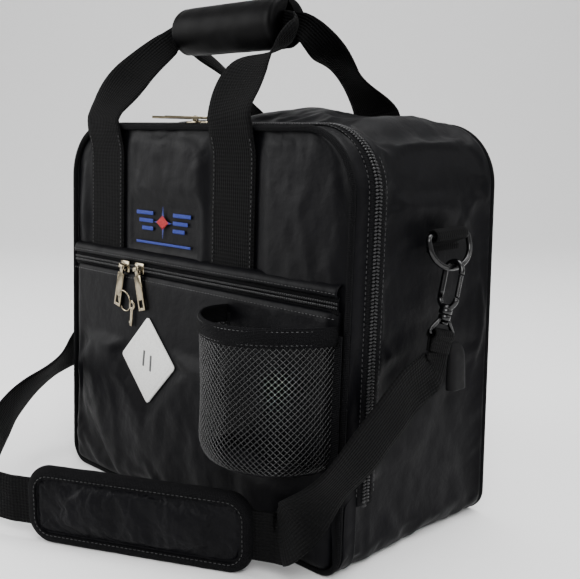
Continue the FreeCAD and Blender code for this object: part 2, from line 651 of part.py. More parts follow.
# ------------------------------------------------------------------ zip sliders and pulls
def zip_slider(name, place, turn):
    """Slider that rides on the zip, with a pull on a cross pin; turn is the pull's bearing."""
    length, wide, plate_t = size("slider_length"), size("slider_width"), size("slider_plate")
    pin = size("pin_radius")
    base = box(-length / 2, -wide / 2, 0, length, wide, plate_t)
    pin_z = plate_t + 2.6
    aim = Placement(Vector(), Rotation(Z_AXIS, turn))
    lugs = [box(-1.6, sign * 3.3 - 0.7, plate_t - 0.01, 3.2, 1.4, pin_z + 1.4 - plate_t)
            for sign in (-1, 1)]
    bar = rod((0, -3.6, pin_z), Y_AXIS, 7.2, pin)
    top = lugs[0].fuse([lugs[1], bar])
    top.Placement = aim
    solid("slider_" + name, base.fuse(top), place)
    pull, across, thick = size("pull_length"), size("pull_width"), size("pull_thick")
    eye = rod((0, -2.2, 0), Y_AXIS, 4.4, 2.2)
    neck = box(1.2, -2.2, -thick / 2, 6, 4.4, thick)
    blade = box(6, -across / 2, -thick / 2, pull - 6, across, thick)
    window = box(pull - 9, -across / 2 + 2, -thick, 6.5, across - 4, 2 * thick)
    shape = eye.fuse([neck, blade]).cut(window)
    shape = shape.cut(rod((0, -3, 0), Y_AXIS, 6, pin + size("running")))
    here = place.multiply(shift(z=pin_z)).multiply(aim)
    solid("pull_" + name, shape.removeSplitter(), here)
    return here


def key_on_ring(place):
    """A wire ring through the pull's window with a small flat key on it."""
    radius, wire = size("key_ring"), 0.7
    low = size("pull_length") - 3.6
    ring = Part.makeTorus(radius, wire, Vector(low - 4, radius + 0.4, 0), Vector(0.15, 0, 1))
    solid("key_ring", ring, place)
    bow = Part.makeCylinder(4.2, 1.2, Vector(0, 0, -0.6)).cut(
        Part.makeCylinder(1.8, 3, Vector(0, 0, -1.5)))
    blade = box(3.6, -1.6, -0.6, 15, 3.2, 1.2)
    tooth = box(14, -3, -0.6, 2.6, 2, 1.2)
    key = bow.fuse([blade, tooth]).removeSplitter()
    solid("small_key", key, place.multiply(Placement(
        Vector(low - 4, 2 * radius + 3.0, 0), Rotation(Z_AXIS, 8))))


def build_zips():
    top_z = size("bag_height") + 1.2 + GAP
    main = FACE.multiply(shift(y=size("zip_depth"), z=top_z))
    zip_slider("main_left", main.multiply(shift(x=-24)), 217)
    zip_slider("main_right", main.multiply(shift(x=-6)), 222)
    middle_z = size("pocket_top") + size("pocket_zip_width") / 2
    upright = Placement(Vector(0, 2 - size("pocket_depth") - GAP, middle_z),
                        Rotation(X_AXIS, 90))
    for name, x, turn in (("pocket_left", -85, 258), ("pocket_right", -64, 285)):
        hung = zip_slider(name, FACE.multiply(shift(x=x)).multiply(upright), turn)
        if name == "pocket_left":
            key_on_ring(hung)


build_shell()
build_edges()
build_lid()
build_bottle_pocket()
build_handles()
build_grip()
strap_ends = {}
for side_name, side_sign in (("right", 1), ("left", -1)):
    d_ring(side_name, side_sign)
    ring_tab(side_name, side_sign)
    strap_ends[side_name] = snap_hook(side_name, side_sign)
pad_middle, pad_along = build_strap(strap_ends)
build_pad(pad_middle, pad_along)
build_port()
build_zips()
doc.recompute()

# ------------------------------------------------------------------ check and write
for item in doc.Objects:
    if "Invalid" in item.State or "Error" in item.State:
        raise SystemExit("failed: %s %s" % (item.Label, item.State))
for item in parts:
    if item.Shape.isNull() or not item.Shape.isValid():
        raise SystemExit("bad shape: " + item.Label)
for item in parts:
    item.Shape.exportStep("parts/%s.step" % item.Label)
    print(item.Label, round(item.Shape.Volume), [round(v, 1) for v in (
        item.Shape.BoundBox.XMin, item.Shape.BoundBox.XMax, item.Shape.BoundBox.YMin,
        item.Shape.BoundBox.YMax, item.Shape.BoundBox.ZMin, item.Shape.BoundBox.ZMax)])
print(len(parts), "sub-parts")
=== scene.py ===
"""Looks of the flight bag: crinkled nylon, net, zips, webbing and padding, drawn round the fixed frame."""
import math

import bmesh
import bpy
import numpy as np
from mathutils import Matrix, Vector, noise


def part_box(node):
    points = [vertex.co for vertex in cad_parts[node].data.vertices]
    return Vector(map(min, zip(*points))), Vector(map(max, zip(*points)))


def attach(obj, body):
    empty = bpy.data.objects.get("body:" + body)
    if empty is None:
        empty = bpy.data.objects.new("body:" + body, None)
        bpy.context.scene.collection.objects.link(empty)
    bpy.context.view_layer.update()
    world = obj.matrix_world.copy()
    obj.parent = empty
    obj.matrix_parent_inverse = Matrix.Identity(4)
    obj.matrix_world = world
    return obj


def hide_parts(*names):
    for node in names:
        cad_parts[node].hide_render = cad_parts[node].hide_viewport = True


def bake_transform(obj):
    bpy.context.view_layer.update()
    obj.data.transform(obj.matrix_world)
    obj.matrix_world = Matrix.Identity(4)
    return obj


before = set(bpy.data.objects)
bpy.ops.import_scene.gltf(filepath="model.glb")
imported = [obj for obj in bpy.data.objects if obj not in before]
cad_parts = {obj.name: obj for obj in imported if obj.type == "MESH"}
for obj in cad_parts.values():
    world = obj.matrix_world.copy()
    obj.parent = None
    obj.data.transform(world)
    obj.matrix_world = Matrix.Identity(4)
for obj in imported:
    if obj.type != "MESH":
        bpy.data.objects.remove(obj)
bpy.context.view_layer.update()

MM = 0.001
ALONG_X, ALONG_Y, UP = Vector((1, 0, 0)), Vector((0, 1, 0)), Vector((0, 0, 1))

# ---------------------------------------------------------------- the bag's own frame
_, back_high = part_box("back_panel")
HALF_WIDTH = back_high[0]
HEIGHT = back_high[2]
BACK = back_high[1]
FACE_SETBACK = 14 * MM
FACE_FOOT = -BACK
LEAN = math.atan2(FACE_SETBACK, HEIGHT)
SHOULDER = 48 * MM
FOOT_ROUND = 20 * MM
ZIP_DEPTH = 20 * MM
ZIP_END = 66 * MM
FOLD = 50 * MM
FACE_TURN = Matrix.Translation((0, FACE_FOOT, 0)) @ Matrix.Rotation(-LEAN, 4, "X")
FACE_OUT = FACE_TURN.to_3x3() @ -ALONG_Y
FACE_UP = FACE_TURN.to_3x3() @ UP
FOLD_START = FACE_TURN @ Vector((0, 0, FOLD - 22 * MM))
FOLD_END = FACE_TURN @ Vector((0, 0, FOLD + 26 * MM))


def on_face(x, y, z):
    """World place of a point given across, behind and up the leaning front face."""
    return FACE_TURN @ Vector((x, y, z))


def step_up(value, reach):
    """Smooth rise from 0 to 1 as a distance grows past nothing to its reach."""
    share = min(max(value / reach, 0.0), 1.0)
    return share * share * (3 - 2 * share)


def half_width(z, inset=0.0):
    """Half the bag's width at a height, with round feet and round shoulders."""
    half, top = HALF_WIDTH - inset, HEIGHT - inset
    foot, shoulder = FOOT_ROUND - inset, SHOULDER - inset
    if z < inset + foot:
        return half - foot + math.sqrt(max(foot * foot - (inset + foot - z) ** 2, 0))
    if z > top - shoulder:
        return half - shoulder + math.sqrt(max(shoulder * shoulder - (z - top + shoulder) ** 2, 0))
    return half


def loop_outline(inset=0.0, step=4 * MM):
    """Points (x, z) round the whole bag seen from the front, from the middle of the base."""
    half, top = HALF_WIDTH - inset, HEIGHT - inset
    low = inset
    foot, shoulder = FOOT_ROUND - inset, SHOULDER - inset

    def line(a, b, count):
        return [tuple(np.add(a, np.multiply(np.subtract(b, a), k / count))) for k in range(count)]

    def arc(cx, cz, radius, start, count):
        turns = [math.radians(start + 90 * k / count) for k in range(count)]
        return [(cx + radius * math.cos(a), cz + radius * math.sin(a)) for a in turns]

    base = int((HALF_WIDTH - FOOT_ROUND) / step)
    side = int((HEIGHT - FOOT_ROUND - SHOULDER) / step)
    crown = int(2 * (HALF_WIDTH - SHOULDER) / step)
    bend, small = int(SHOULDER * 1.571 / step) + 2, int(FOOT_ROUND * 1.571 / step) + 2
    points = line((0, low), (half - foot, low), base)
    points += arc(half - foot, low + foot, foot, -90, small)
    points += line((half, low + foot), (half, top - shoulder), side)
    points += arc(half - shoulder, top - shoulder, shoulder, 0, bend)
    points += line((half - shoulder, top), (shoulder - half, top), crown)
    points += arc(shoulder - half, top - shoulder, shoulder, 90, bend)
    points += line((-half, top - shoulder), (-half, low + foot), side)
    points += arc(foot - half, low + foot, foot, 180, small)
    points += line((foot - half, low), (0, low), base)
    return points


# ---------------------------------------------------------------- mesh helpers
def piece_from(name, vertices, faces, uvs=None):
    """A smooth-shaded mesh object; uvs are one (u, v) for each vertex, in metres of cloth."""
    mesh = bpy.data.meshes.new(name)
    mesh.from_pydata([tuple(v) for v in vertices], [], faces)
    mesh.polygons.foreach_set("use_smooth", [True] * len(mesh.polygons))
    if uvs is not None:
        layer = mesh.uv_layers.new(name="cloth")
        corner = np.zeros(len(mesh.loops), dtype=np.int32)
        mesh.loops.foreach_get("vertex_index", corner)
        layer.data.foreach_set("uv", np.asarray(uvs, np.float32)[corner].ravel())
    mesh.update()
    piece = bpy.data.objects.new(name, mesh)
    bpy.context.scene.collection.objects.link(piece)
    return piece


def grid_faces(rows, columns, round_rows=False, round_columns=False):
    """Quads between rows and columns of points, closed on themselves where asked."""
    faces = []
    for i in range(rows if round_rows else rows - 1):
        for j in range(columns if round_columns else columns - 1):
            a, b = i * columns + j, i * columns + (j + 1) % columns
            c, d = ((i + 1) % rows) * columns + (j + 1) % columns, ((i + 1) % rows) * columns + j
            faces.append((a, b, c, d))
    return faces


def grid_piece(name, grid, uvs, round_rows=False, round_columns=False):
    """A sheet from rows and columns of points."""
    rows, columns = len(grid), len(grid[0])
    points = [p for row in grid for p in row]
    flat = [t for row in uvs for t in row]
    return piece_from(name, points, grid_faces(rows, columns, round_rows, round_columns), flat)


def coordinates(piece):
    """The piece's points as an array."""
    co = np.empty(len(piece.data.vertices) * 3)
    piece.data.vertices.foreach_get("co", co)
    return co.reshape(-1, 3)


def set_coordinates(piece, co):
    """Move the piece's points."""
    piece.data.vertices.foreach_set("co", np.asarray(co, float).ravel())
    piece.data.update()


def bake(piece):
    """Apply the live modifiers and leave a plain mesh."""
    graph = bpy.context.evaluated_depsgraph_get()
    mesh = bpy.data.meshes.new_from_object(piece.evaluated_get(graph))
    mesh.name = piece.name
    old = piece.data
    piece.modifiers.clear()
    piece.data = mesh
    bpy.data.meshes.remove(old)
    mesh.polygons.foreach_set("use_smooth", [True] * len(mesh.polygons))
    return piece


def thicken(piece, thickness, offset=-1.0):
    """Give a sheet its thickness; offset -1 grows it inwards and 1 outwards."""
    wall = piece.modifiers.new("wall", "SOLIDIFY")
    wall.thickness = thickness
    wall.offset = offset
    wall.use_even_offset = False
    return bake(piece)


def smooth_once(piece):
    """Subdivide a piece one level, which rounds it."""
    finer = piece.modifiers.new("finer", "SUBSURF")
    finer.levels = finer.render_levels = 1
    return bake(piece)


def crush(piece, depth, size, seed, stretch=(1, 1, 1), free=None):
    """Raise crushed-nylon creases along the normals; free says how much each point may move."""
    co = coordinates(piece)
    normals = np.empty(len(co) * 3)
    piece.data.vertices.foreach_get("normal", normals)
    normals = normals.reshape(-1, 3)
    offset = Vector((seed * 7.13, seed * 3.71, seed * 5.37))
    scale = 1 / size
    for index, point in enumerate(co):
        room = 1.0 if free is None else free[index]
        if room <= 0:
            continue
        at = Vector((point[0] * stretch[0], point[1] * stretch[1], point[2] * stretch[2])) * scale
        bend = noise.noise_vector(at * 0.45 + offset) * 0.9
        ridge = 1 - 2.4 * abs(noise.noise(at + bend + offset))
        small = 1 - 2.4 * abs(noise.noise(at * 2.3 + bend * 1.7 - offset))
        slow = noise.noise(at * 0.33 - offset)
        height = depth * room * (0.62 * ridge + 0.28 * small + 0.5 * slow)
        co[index] += normals[index] * height
    set_coordinates(piece, co)
    return piece


def settle(piece, pinned, grow=0.03, pressure=1.0, frames=18, limit=5 * MM, bend=0.08, free=None):
    """Let a sheet buckle and puff by cloth simulation between its pinned edges."""
    start = coordinates(piece)
    group = piece.vertex_groups.new(name="sewn")
    group.add([int(i) for i in pinned], 1.0, "ADD")
    cloth = piece.modifiers.new("cloth", "CLOTH")
    rules = cloth.settings
    rules.quality = 5
    rules.mass = 0.12
    rules.tension_stiffness = 12
    rules.compression_stiffness = 12
    rules.shear_stiffness = 6
    rules.bending_stiffness = bend
    rules.vertex_group_mass = "sewn"
    rules.shrink_min = -grow
    rules.use_pressure = pressure > 0
    rules.uniform_pressure_force = pressure
    rules.effector_weights.gravity = 0
    cloth.point_cache.frame_start = 1
    cloth.point_cache.frame_end = frames
    scene = bpy.context.scene
    for number in range(1, frames + 1):
        scene.frame_set(number)
    bake(piece)
    scene.frame_set(1)
    piece.vertex_groups.clear()
    moved = coordinates(piece) - start
    length = np.linalg.norm(moved, axis=1, keepdims=True)
    soft = limit * np.tanh(length / limit) / np.maximum(length, 1e-9)
    if free is not None:
        soft = soft * np.asarray(free)[:, None]
    set_coordinates(piece, start + moved * soft)
    return piece


# ---------------------------------------------------------------- materials
def linear(code):
    """sRGB hex to linear colour."""
    values = [int(code[k:k + 2], 16) / 255 for k in (1, 3, 5)]
    out = [v / 12.92 if v <= 0.04045 else ((v + 0.055) / 1.055) ** 2.4 for v in values]
    return (*out, 1.0)


def add(tree, kind, settings=(), **links):
    """One shader or geometry node, with its settings and what feeds its inputs."""
    made = tree.nodes.new(kind)
    for key, value in dict(settings).items():
        setattr(made, key, value)
    for key, value in links.items():
        if key[0] == "i" and key[1:].isdigit():
            socket = made.inputs[int(key[1:])]
        else:
            label = key.replace("_", " ")
            socket = next(s for s in made.inputs if s.name.lower() == label)
        if isinstance(value, bpy.types.NodeSocket):
            tree.links.new(value, socket)
        else:
            socket.default_value = value
    return made


SHADER_NAMES = {"sheen": "Sheen Weight", "specular": "Specular IOR Level"}


def new_material(name, color="#101012", roughness=0.5, metallic=0.0, **sockets):
    """A material with its uniform values set on the shader; returns it with its tree and shader."""
    material = bpy.data.materials.new(name)
    material.use_nodes = True
    tree = material.node_tree
    shader = tree.nodes["Principled BSDF"]
    shader.inputs["Base Color"].default_value = linear(color)
    shader.inputs["Roughness"].default_value = roughness
    shader.inputs["Metallic"].default_value = metallic
    for key, value in sockets.items():
        shader.inputs[SHADER_NAMES[key]].default_value = value
    return material, tree, shader


def nylon_cloth(name, dark, light, crease=9 * MM, strength=0.45, specular=0.075):
    """Crushed nylon taffeta, calendered: fine plain weave, soft gloss and a web of set creases."""
    material, tree, shader = new_material(name, roughness=0.5, specular=specular)
    place = add(tree, "ShaderNodeTexCoord").outputs["Object"]
    warp = add(tree, "ShaderNodeTexNoise", vector=place, scale=1 / (3.2 * crease), detail=2.0)
    bent = add(tree, "ShaderNodeVectorMath", {"operation": "MULTIPLY_ADD"}, i0=warp.outputs["Color"],
               i1=(0.007, 0.007, 0.007), i2=place).outputs[0]
    web = add(tree, "ShaderNodeTexNoise", {"noise_type": "RIDGED_MULTIFRACTAL"}, vector=bent,
              scale=1 / (3.4 * crease), detail=3.0, roughness=0.45)
    fine = add(tree, "ShaderNodeTexNoise", vector=bent, scale=1 / (1.7 * crease), detail=3.0,
               roughness=0.5)
    height = add(tree, "ShaderNodeMath", {"operation": "MULTIPLY_ADD"}, i0=web.outputs[0], i1=0.5,
                 i2=fine.outputs[0]).outputs[0]
    # the real weave is 0.3 mm and would vanish, so it is drawn at 1.1 mm
    weave = add(tree, "ShaderNodeTexChecker", vector=place, scale=1 / (1.1 * MM))
    low = add(tree, "ShaderNodeBump", strength=strength, distance=2.2 * MM, height=height)
    top = add(tree, "ShaderNodeBump", strength=0.12, distance=0.15 * MM,
              height=weave.outputs["Fac"], normal=low.outputs[0])
    tree.links.new(top.outputs[0], shader.inputs["Normal"])
    cloud = add(tree, "ShaderNodeTexNoise", vector=place, scale=1 / (60 * MM), detail=3.0)
    color = add(tree, "ShaderNodeMix", {"data_type": "RGBA"}, i0=cloud.outputs[0], i6=linear(dark),
                i7=linear(light))
    tree.links.new(color.outputs[2], shader.inputs["Base Color"])
    rough = add(tree, "ShaderNodeMapRange", value=fine.outputs[0], to_min=0.4, to_max=0.6)
    tree.links.new(rough.outputs[0], shader.inputs["Roughness"])
    return material


def webbing_cloth(name, dark, light, rib=3.0 * MM, across=2.4 * MM):
    """Woven nylon webbing: ribs of doubled weft crossed by warp yarns, slightly hairy and matt.

    The strap webbing's real ribs are about 1.5 mm apart and would vanish, so the usual rib is twice that.
    """
    material, tree, shader = new_material(name, roughness=0.75, specular=0.07)
    place = add(tree, "ShaderNodeTexCoord").outputs["UV"]
    along = add(tree, "ShaderNodeTexWave", {"wave_type": "BANDS", "bands_direction": "X"},
                vector=place, scale=math.pi / (10 * rib), distortion=0.0)
    side = add(tree, "ShaderNodeTexWave", {"wave_type": "BANDS", "bands_direction": "Y"},
               vector=place, scale=math.pi / (10 * across), distortion=0.0)
    both = add(tree, "ShaderNodeMath", {"operation": "MULTIPLY_ADD"}, i0=along.outputs["Fac"], i1=0.6,
               i2=side.outputs["Fac"]).outputs[0]
    fuzz = add(tree, "ShaderNodeTexNoise", vector=place, scale=1 / (2.5 * MM), detail=4.0)
    bumpy = add(tree, "ShaderNodeBump", strength=0.8, distance=0.7 * MM, height=both)
    rough = add(tree, "ShaderNodeBump", strength=0.2, distance=0.4 * MM,
                height=fuzz.outputs[0], normal=bumpy.outputs[0])
    tree.links.new(rough.outputs[0], shader.inputs["Normal"])
    tone = add(tree, "ShaderNodeMath", {"operation": "MULTIPLY_ADD"}, i0=both, i1=0.4, i2=0.1)
    color = add(tree, "ShaderNodeMix", {"data_type": "RGBA"}, i0=tone.outputs[0], i6=linear(dark),
                i7=linear(light))
    tree.links.new(color.outputs[2], shader.inputs["Base Color"])
    return material


def net_cord(name, color):
    """Knitted polyester net, heat set: round shiny yarn."""
    material, tree, shader = new_material(name, color, roughness=0.25, specular=0.5)
    place = add(tree, "ShaderNodeTexCoord").outputs["Object"]
    speck = add(tree, "ShaderNodeTexNoise", vector=place, scale=1 / (1.4 * MM), detail=2.0)
    bump = add(tree, "ShaderNodeBump", strength=0.4, distance=0.3 * MM, height=speck.outputs[0])
    tree.links.new(bump.outputs[0], shader.inputs["Normal"])
    return material


def moulded_plastic(name, dark, light, roughness, specular=0.4):
    """Black polymer, injection moulded: small ripples in its gloss and a trace of handling wear."""
    material, tree, shader = new_material(name, roughness=roughness, specular=specular)
    place = add(tree, "ShaderNodeTexCoord").outputs["Object"]
    haze = add(tree, "ShaderNodeTexNoise", vector=place, scale=1 / (6 * MM), detail=5.0)
    color = add(tree, "ShaderNodeMix", {"data_type": "RGBA"}, i0=haze.outputs[0], i6=linear(dark),
                i7=linear(light))
    tree.links.new(color.outputs[2], shader.inputs["Base Color"])
    spread = add(tree, "ShaderNodeMapRange", value=haze.outputs[0], to_min=roughness * 0.75,
                 to_max=roughness * 1.4)
    tree.links.new(spread.outputs[0], shader.inputs["Roughness"])
    bump = add(tree, "ShaderNodeBump", strength=0.12, distance=0.2 * MM, height=haze.outputs[0])
    tree.links.new(bump.outputs[0], shader.inputs["Normal"])
    return material


def plated_zinc(name, dark, light):
    """Zinc alloy, die cast and plated in antique nickel: bright, unevenly worn."""
    material, tree, shader = new_material(name, roughness=0.2, metallic=1.0)
    place = add(tree, "ShaderNodeTexCoord").outputs["Object"]
    worn = add(tree, "ShaderNodeTexNoise", vector=place, scale=1 / (7 * MM), detail=2.0)
    color = add(tree, "ShaderNodeMix", {"data_type": "RGBA"}, i0=worn.outputs[0], i6=linear(dark),
                i7=linear(light))
    tree.links.new(color.outputs[2], shader.inputs["Base Color"])
    spread = add(tree, "ShaderNodeMapRange", value=worn.outputs[0], to_min=0.1, to_max=0.26)
    tree.links.new(spread.outputs[0], shader.inputs["Roughness"])
    bump = add(tree, "ShaderNodeBump", strength=0.1, distance=0.2 * MM, height=worn.outputs[0])
    tree.links.new(bump.outputs[0], shader.inputs["Normal"])
    return material


def thread(name, color):
    """Trilobal polyester embroidery thread: soft gloss along the strand."""
    material, tree, shader = new_material(name, color, roughness=0.38, sheen=0.06, specular=0.6)
    place = add(tree, "ShaderNodeTexCoord").outputs["Object"]
    twist = add(tree, "ShaderNodeTexNoise", vector=place, scale=1 / (0.8 * MM), detail=2.0)
    bump = add(tree, "ShaderNodeBump", strength=0.35, distance=0.1 * MM, height=twist.outputs[0])
    tree.links.new(bump.outputs[0], shader.inputs["Normal"])
    return material


def coated_leatherette(name, dark, light):
    """PVC-coated cloth, calendered with a fine grain."""
    material, tree, shader = new_material(name, roughness=0.5, specular=0.4)
    place = add(tree, "ShaderNodeTexCoord").outputs["Object"]
    grain = add(tree, "ShaderNodeTexVoronoi", vector=place, scale=1 / (1.3 * MM))
    color = add(tree, "ShaderNodeMix", {"data_type": "RGBA"}, i0=grain.outputs["Distance"], i6=linear(light),
                i7=linear(dark))
    tree.links.new(color.outputs[2], shader.inputs["Base Color"])
    bump = add(tree, "ShaderNodeBump", strength=0.15, distance=0.2 * MM,
               height=grain.outputs["Distance"])
    tree.links.new(bump.outputs[0], shader.inputs["Normal"])
    return material


NYLON = nylon_cloth("crushed_nylon", "#020203", "#060609")
# the grip's wrap is the same black nylon, its colour drawn darker as painted shade where the top light falls
# on the grip
SHADED_WRAP_NYLON = nylon_cloth("wrap_nylon_painted_shade", "#010101", "#030304", crease=12 * MM, strength=0.25,
                         specular=0.05)
PAD_NYLON = nylon_cloth("padded_nylon", "#030304", "#08080b", crease=5 * MM, strength=0.8)
WEBBING = webbing_cloth("woven_webbing", "#020202", "#0a0a0b")
BINDING = webbing_cloth("grosgrain_binding", "#030304", "#0e0e10", rib=1.3 * MM, across=1.0 * MM)
TAPE = webbing_cloth("zip_tape", "#040405", "#111113", rib=1.6 * MM, across=0.9 * MM)
NET = net_cord("knitted_net", "#040405")
COIL = moulded_plastic("nylon_coil", "#060607", "#121214", 0.3)
ACETAL = moulded_plastic("black_acetal", "#020203", "#060607", 0.2)
RUBBER = moulded_plastic("moulded_rubber", "#020203", "#060607", 0.6, 0.15)
PLATE = plated_zinc("plated_zinc", "#4a4032", "#b3a88f")
TAG = coated_leatherette("coated_tag", "#cfcfcc", "#e6e6e3")
BLACK_THREAD = thread("black_thread", "#0c0c0e")
WHITE_THREAD = thread("white_thread", "#c9c9c4")
BLUE_THREAD = thread("blue_thread", "#122c86")
RED_THREAD = thread("red_thread", "#a01018")


def finish_piece(piece, material, body, slot, *nodes, blend=None):
    """Give a finished piece its material, its body and the CAD nodes that it stands for."""
    piece.data.materials.clear()
    piece.data.materials.append(material)
    for polygon in piece.data.polygons:
        polygon.material_index = 0
    if blend:
        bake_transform(piece)
    else:
        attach(piece, body)
    if nodes:
        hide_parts(*nodes)
    return piece


LID_FOLD = ("root", "lid", FOLD_START, FOLD_END)


# ---------------------------------------------------------------- shell
def build_shell():
    """One sewn sleeve: base, sides and top, from the zip to the back seam."""
    outline = loop_outline(0.8 * MM, 4 * MM)
    rows = 38
    grid, uvs = [], []
    run = np.cumsum([0] + [math.dist(outline[k], outline[k - 1]) for k in range(1, len(outline))])
    for i in range(rows):
        row, marks = [], []
        for k, (x, z) in enumerate(outline):
            # below the zip's ends the side reaches the front seam
            closing = min(max((ZIP_END + 2 * MM - z) / (10 * MM), 0), 1)
            front = (ZIP_DEPTH + 5.5 * MM) * (1 - closing) + 1.2 * MM * closing
            start = on_face(x, front, z)
            y = start.y + (BACK - 0.5 * MM - start.y) * i / (rows - 1)
            # the slack top swells, most of all over its right half
            crown = math.sin(math.pi * i / (rows - 1)) * step_up(z - HEIGHT + 12 * MM, 12 * MM)
            swell = 3 * MM + 9 * MM * step_up(x + 20 * MM, 70 * MM) * step_up(165 * MM - x, 40 * MM)
            row.append(Vector((x, y, max(z, 0.8 * MM) + crown * swell)))
            marks.append((run[k], y))
        grid.append(row)
        uvs.append(marks)
    sleeve = grid_piece("shell_sleeve", grid, uvs, round_columns=True)
    count = len(outline)
    pins = [k for k in range(rows * count)
            if k < count or k >= (rows - 1) * count or grid[k // count][k % count].z < 3 * MM]
    settle(sleeve, pins, grow=0.035, pressure=1.4, limit=3.4 * MM)
    co = coordinates(sleeve)
    free = []
    for index, point in enumerate(co):
        i = index // count
        edge = min(i, rows - 1 - i) / 5
        free.append(min(edge, 1.0) * min(max((point[2] - 3 * MM) / (12 * MM), 0), 1))
    crush(sleeve, 2.6 * MM, 62 * MM, 6, stretch=(1.0, 0.9, 0.6), free=free)
    crush(sleeve, 1.1 * MM, 24 * MM, 3, stretch=(1.0, 0.8, 0.45), free=free)
    smooth_once(sleeve)
    co = coordinates(sleeve)
    co[:, 2] = np.maximum(co[:, 2], 0.4 * MM)
    set_coordinates(sleeve, co)
    thicken(sleeve, 1.0 * MM, 1.0)
    finish_piece(sleeve, NYLON, "root", "shell_nylon", "side_panel_left", "side_panel_right",
                 "top_panel", "base_panel")


def arch_grid(name, y, inset, low, high, step=4 * MM, leaning=True):
    """A panel with the bag's outline: the piece, its edge points and its rows and columns."""
    rows = int((high - low) / step)
    columns = int(2 * HALF_WIDTH / step)
    grid, uvs = [], []
    for i in range(rows + 1):
        share = i / rows
        # rows lie closer together towards the top, where the shoulders turn
        z = min(low + (high - low) * (share + 0.035 * math.sin(math.pi * share)), high)
        half = half_width(z, inset)
        row, marks = [], []
        for j in range(columns + 1):
            x = half * (2 * j / columns - 1)
            row.append(on_face(x, y, z) if leaning else Vector((x, y, z)))
            marks.append((x, z))
        grid.append(row)
        uvs.append(marks)
    edge = [i * (columns + 1) + j for i in range(rows + 1) for j in range(columns + 1)
            if i in (0, rows) or j in (0, columns)]
    return grid_piece(name, grid, uvs), edge, rows + 1, columns + 1


def rim_room(rows, columns, reach=4):
    """How freely each point of a sewn panel may crease: none at the seam, all inside it."""
    return [min(min(i, rows - 1 - i, j, columns - 1 - j) / reach, 1.0)
            for i in range(rows) for j in range(columns)]


def outside_box(x, z, low, high):
    """How far a place on the face lies outside a box, both in millimetres."""
    dx = max(low[0] - x / MM, x / MM - high[0], 0)
    dz = max(low[1] - z / MM, z / MM - high[1], 0)
    return math.hypot(dx, dz)


def sewn_room(x, z):
    """How freely the face may crease here: not at all under what is sewn or hangs on it."""
    legs = min(outside_box(x, z, (-146, 205), (-94, 330)), outside_box(x, z, (24, 205), (76, 330)))
    badge = outside_box(x, z, (-82, 218), (4, 252))
    tag = max(abs(x / MM + 48) + abs(z / MM - 121) - 39, 0) / math.sqrt(2)
    pulls = outside_box(x, z, (-168, 138), (50, 200))
    bottle = 0.3 + 0.7 * step_up(outside_box(x, z, (48, 68), (172, 190)), 16)
    return step_up(min(legs, badge, tag, pulls), 16) * bottle


def build_back():
    """Back panel, plain and slack between its seams."""
    panel, edge, rows, columns = arch_grid("back_panel_cloth", BACK - 0.2 * MM, 2.2 * MM, 2.2 * MM,
                                           HEIGHT - 2.2 * MM, leaning=False)
    for polygon in panel.data.polygons:
        polygon.flip()
    settle(panel, edge, grow=0.03, pressure=1.2, limit=4 * MM)
    crush(panel, 2.2 * MM, 60 * MM, 18, stretch=(1, 1, 0.6), free=rim_room(rows, columns))
    crush(panel, 1.0 * MM, 26 * MM, 8, stretch=(1, 1, 0.5), free=rim_room(rows, columns))
    smooth_once(panel)
    thicken(panel, 1.0 * MM, -1.0)
    finish_piece(panel, NYLON, "root", "shell_nylon", "back_panel")


def build_front():
    """Front panel that shows above the pocket."""
    panel, edge, rows, columns = arch_grid("front_panel_cloth", 0.4 * MM, 2.2 * MM, 2.2 * MM,
                                           HEIGHT - 2.2 * MM, step=3.6 * MM)
    local = FACE_TURN.inverted()
    places = [local @ Vector(point) for point in coordinates(panel)]
    free = [a * sewn_room(p.x, p.z) for a, p in zip(rim_room(rows, columns), places)]
    settle(panel, edge, grow=0.03, pressure=1.0, limit=3.2 * MM, free=free)
    crush(panel, 2.0 * MM, 56 * MM, 9, stretch=(1, 1, 0.6), free=free)
    crush(panel, 1.0 * MM, 22 * MM, 5, stretch=(1, 1, 0.5), free=free)
    smooth_once(panel)
    thicken(panel, 1.0 * MM, -1.0)
    finish_piece(panel, NYLON, None, "shell_nylon", "front_panel", "front_panel_lower",
                 blend=LID_FOLD)


def strip_along(name, depths, inset, low_z, lift):
    """A strip that follows the outline above a height, drawn at several depths behind the face."""
    outline = loop_outline(inset, 3 * MM)
    start = next(k for k, (x, z) in enumerate(outline) if z > low_z)
    stop = max(k for k, (x, z) in enumerate(outline) if z > low_z)
    outline = outline[start:stop + 1]
    run = np.cumsum([0] + [math.dist(outline[k], outline[k - 1]) for k in range(1, len(outline))])
    normals = []
    for k in range(len(outline)):
        a, b = outline[max(k - 1, 0)], outline[min(k + 1, len(outline) - 1)]
        d = Vector((b[0] - a[0], b[1] - a[1])).normalized()
        normals.append((d.y, -d.x))
    grid, uvs = [], []
    for depth, rise in zip(depths, lift):
        grid.append([on_face(x + rise * n[0], depth, z + rise * n[1])
                     for (x, z), n in zip(outline, normals)])
        uvs.append([(r, depth) for r in run])
    return grid_piece(name, grid, uvs)


def build_lid_band():
    """Narrow return of the lid between the front seam and the zip."""
    depths = [d * MM for d in (0.6, 2, 4, 6, 8, 10, 11.5, 12.6, 13.2)]
    lift = [v * MM for v in (-0.6, 0.0, 0.4, 0.5, 0.5, 0.6, 1.0, 1.3, 0.7)]
    band = strip_along("lid_band_cloth", depths, 1.2 * MM, 1.5 * MM, lift)
    crush(band, 0.5 * MM, 16 * MM, 12)
    smooth_once(band)
    thicken(band, 0.9 * MM, 1.0)
    finish_piece(band, NYLON, None, "shell_nylon", "lid_band", blend=LID_FOLD)


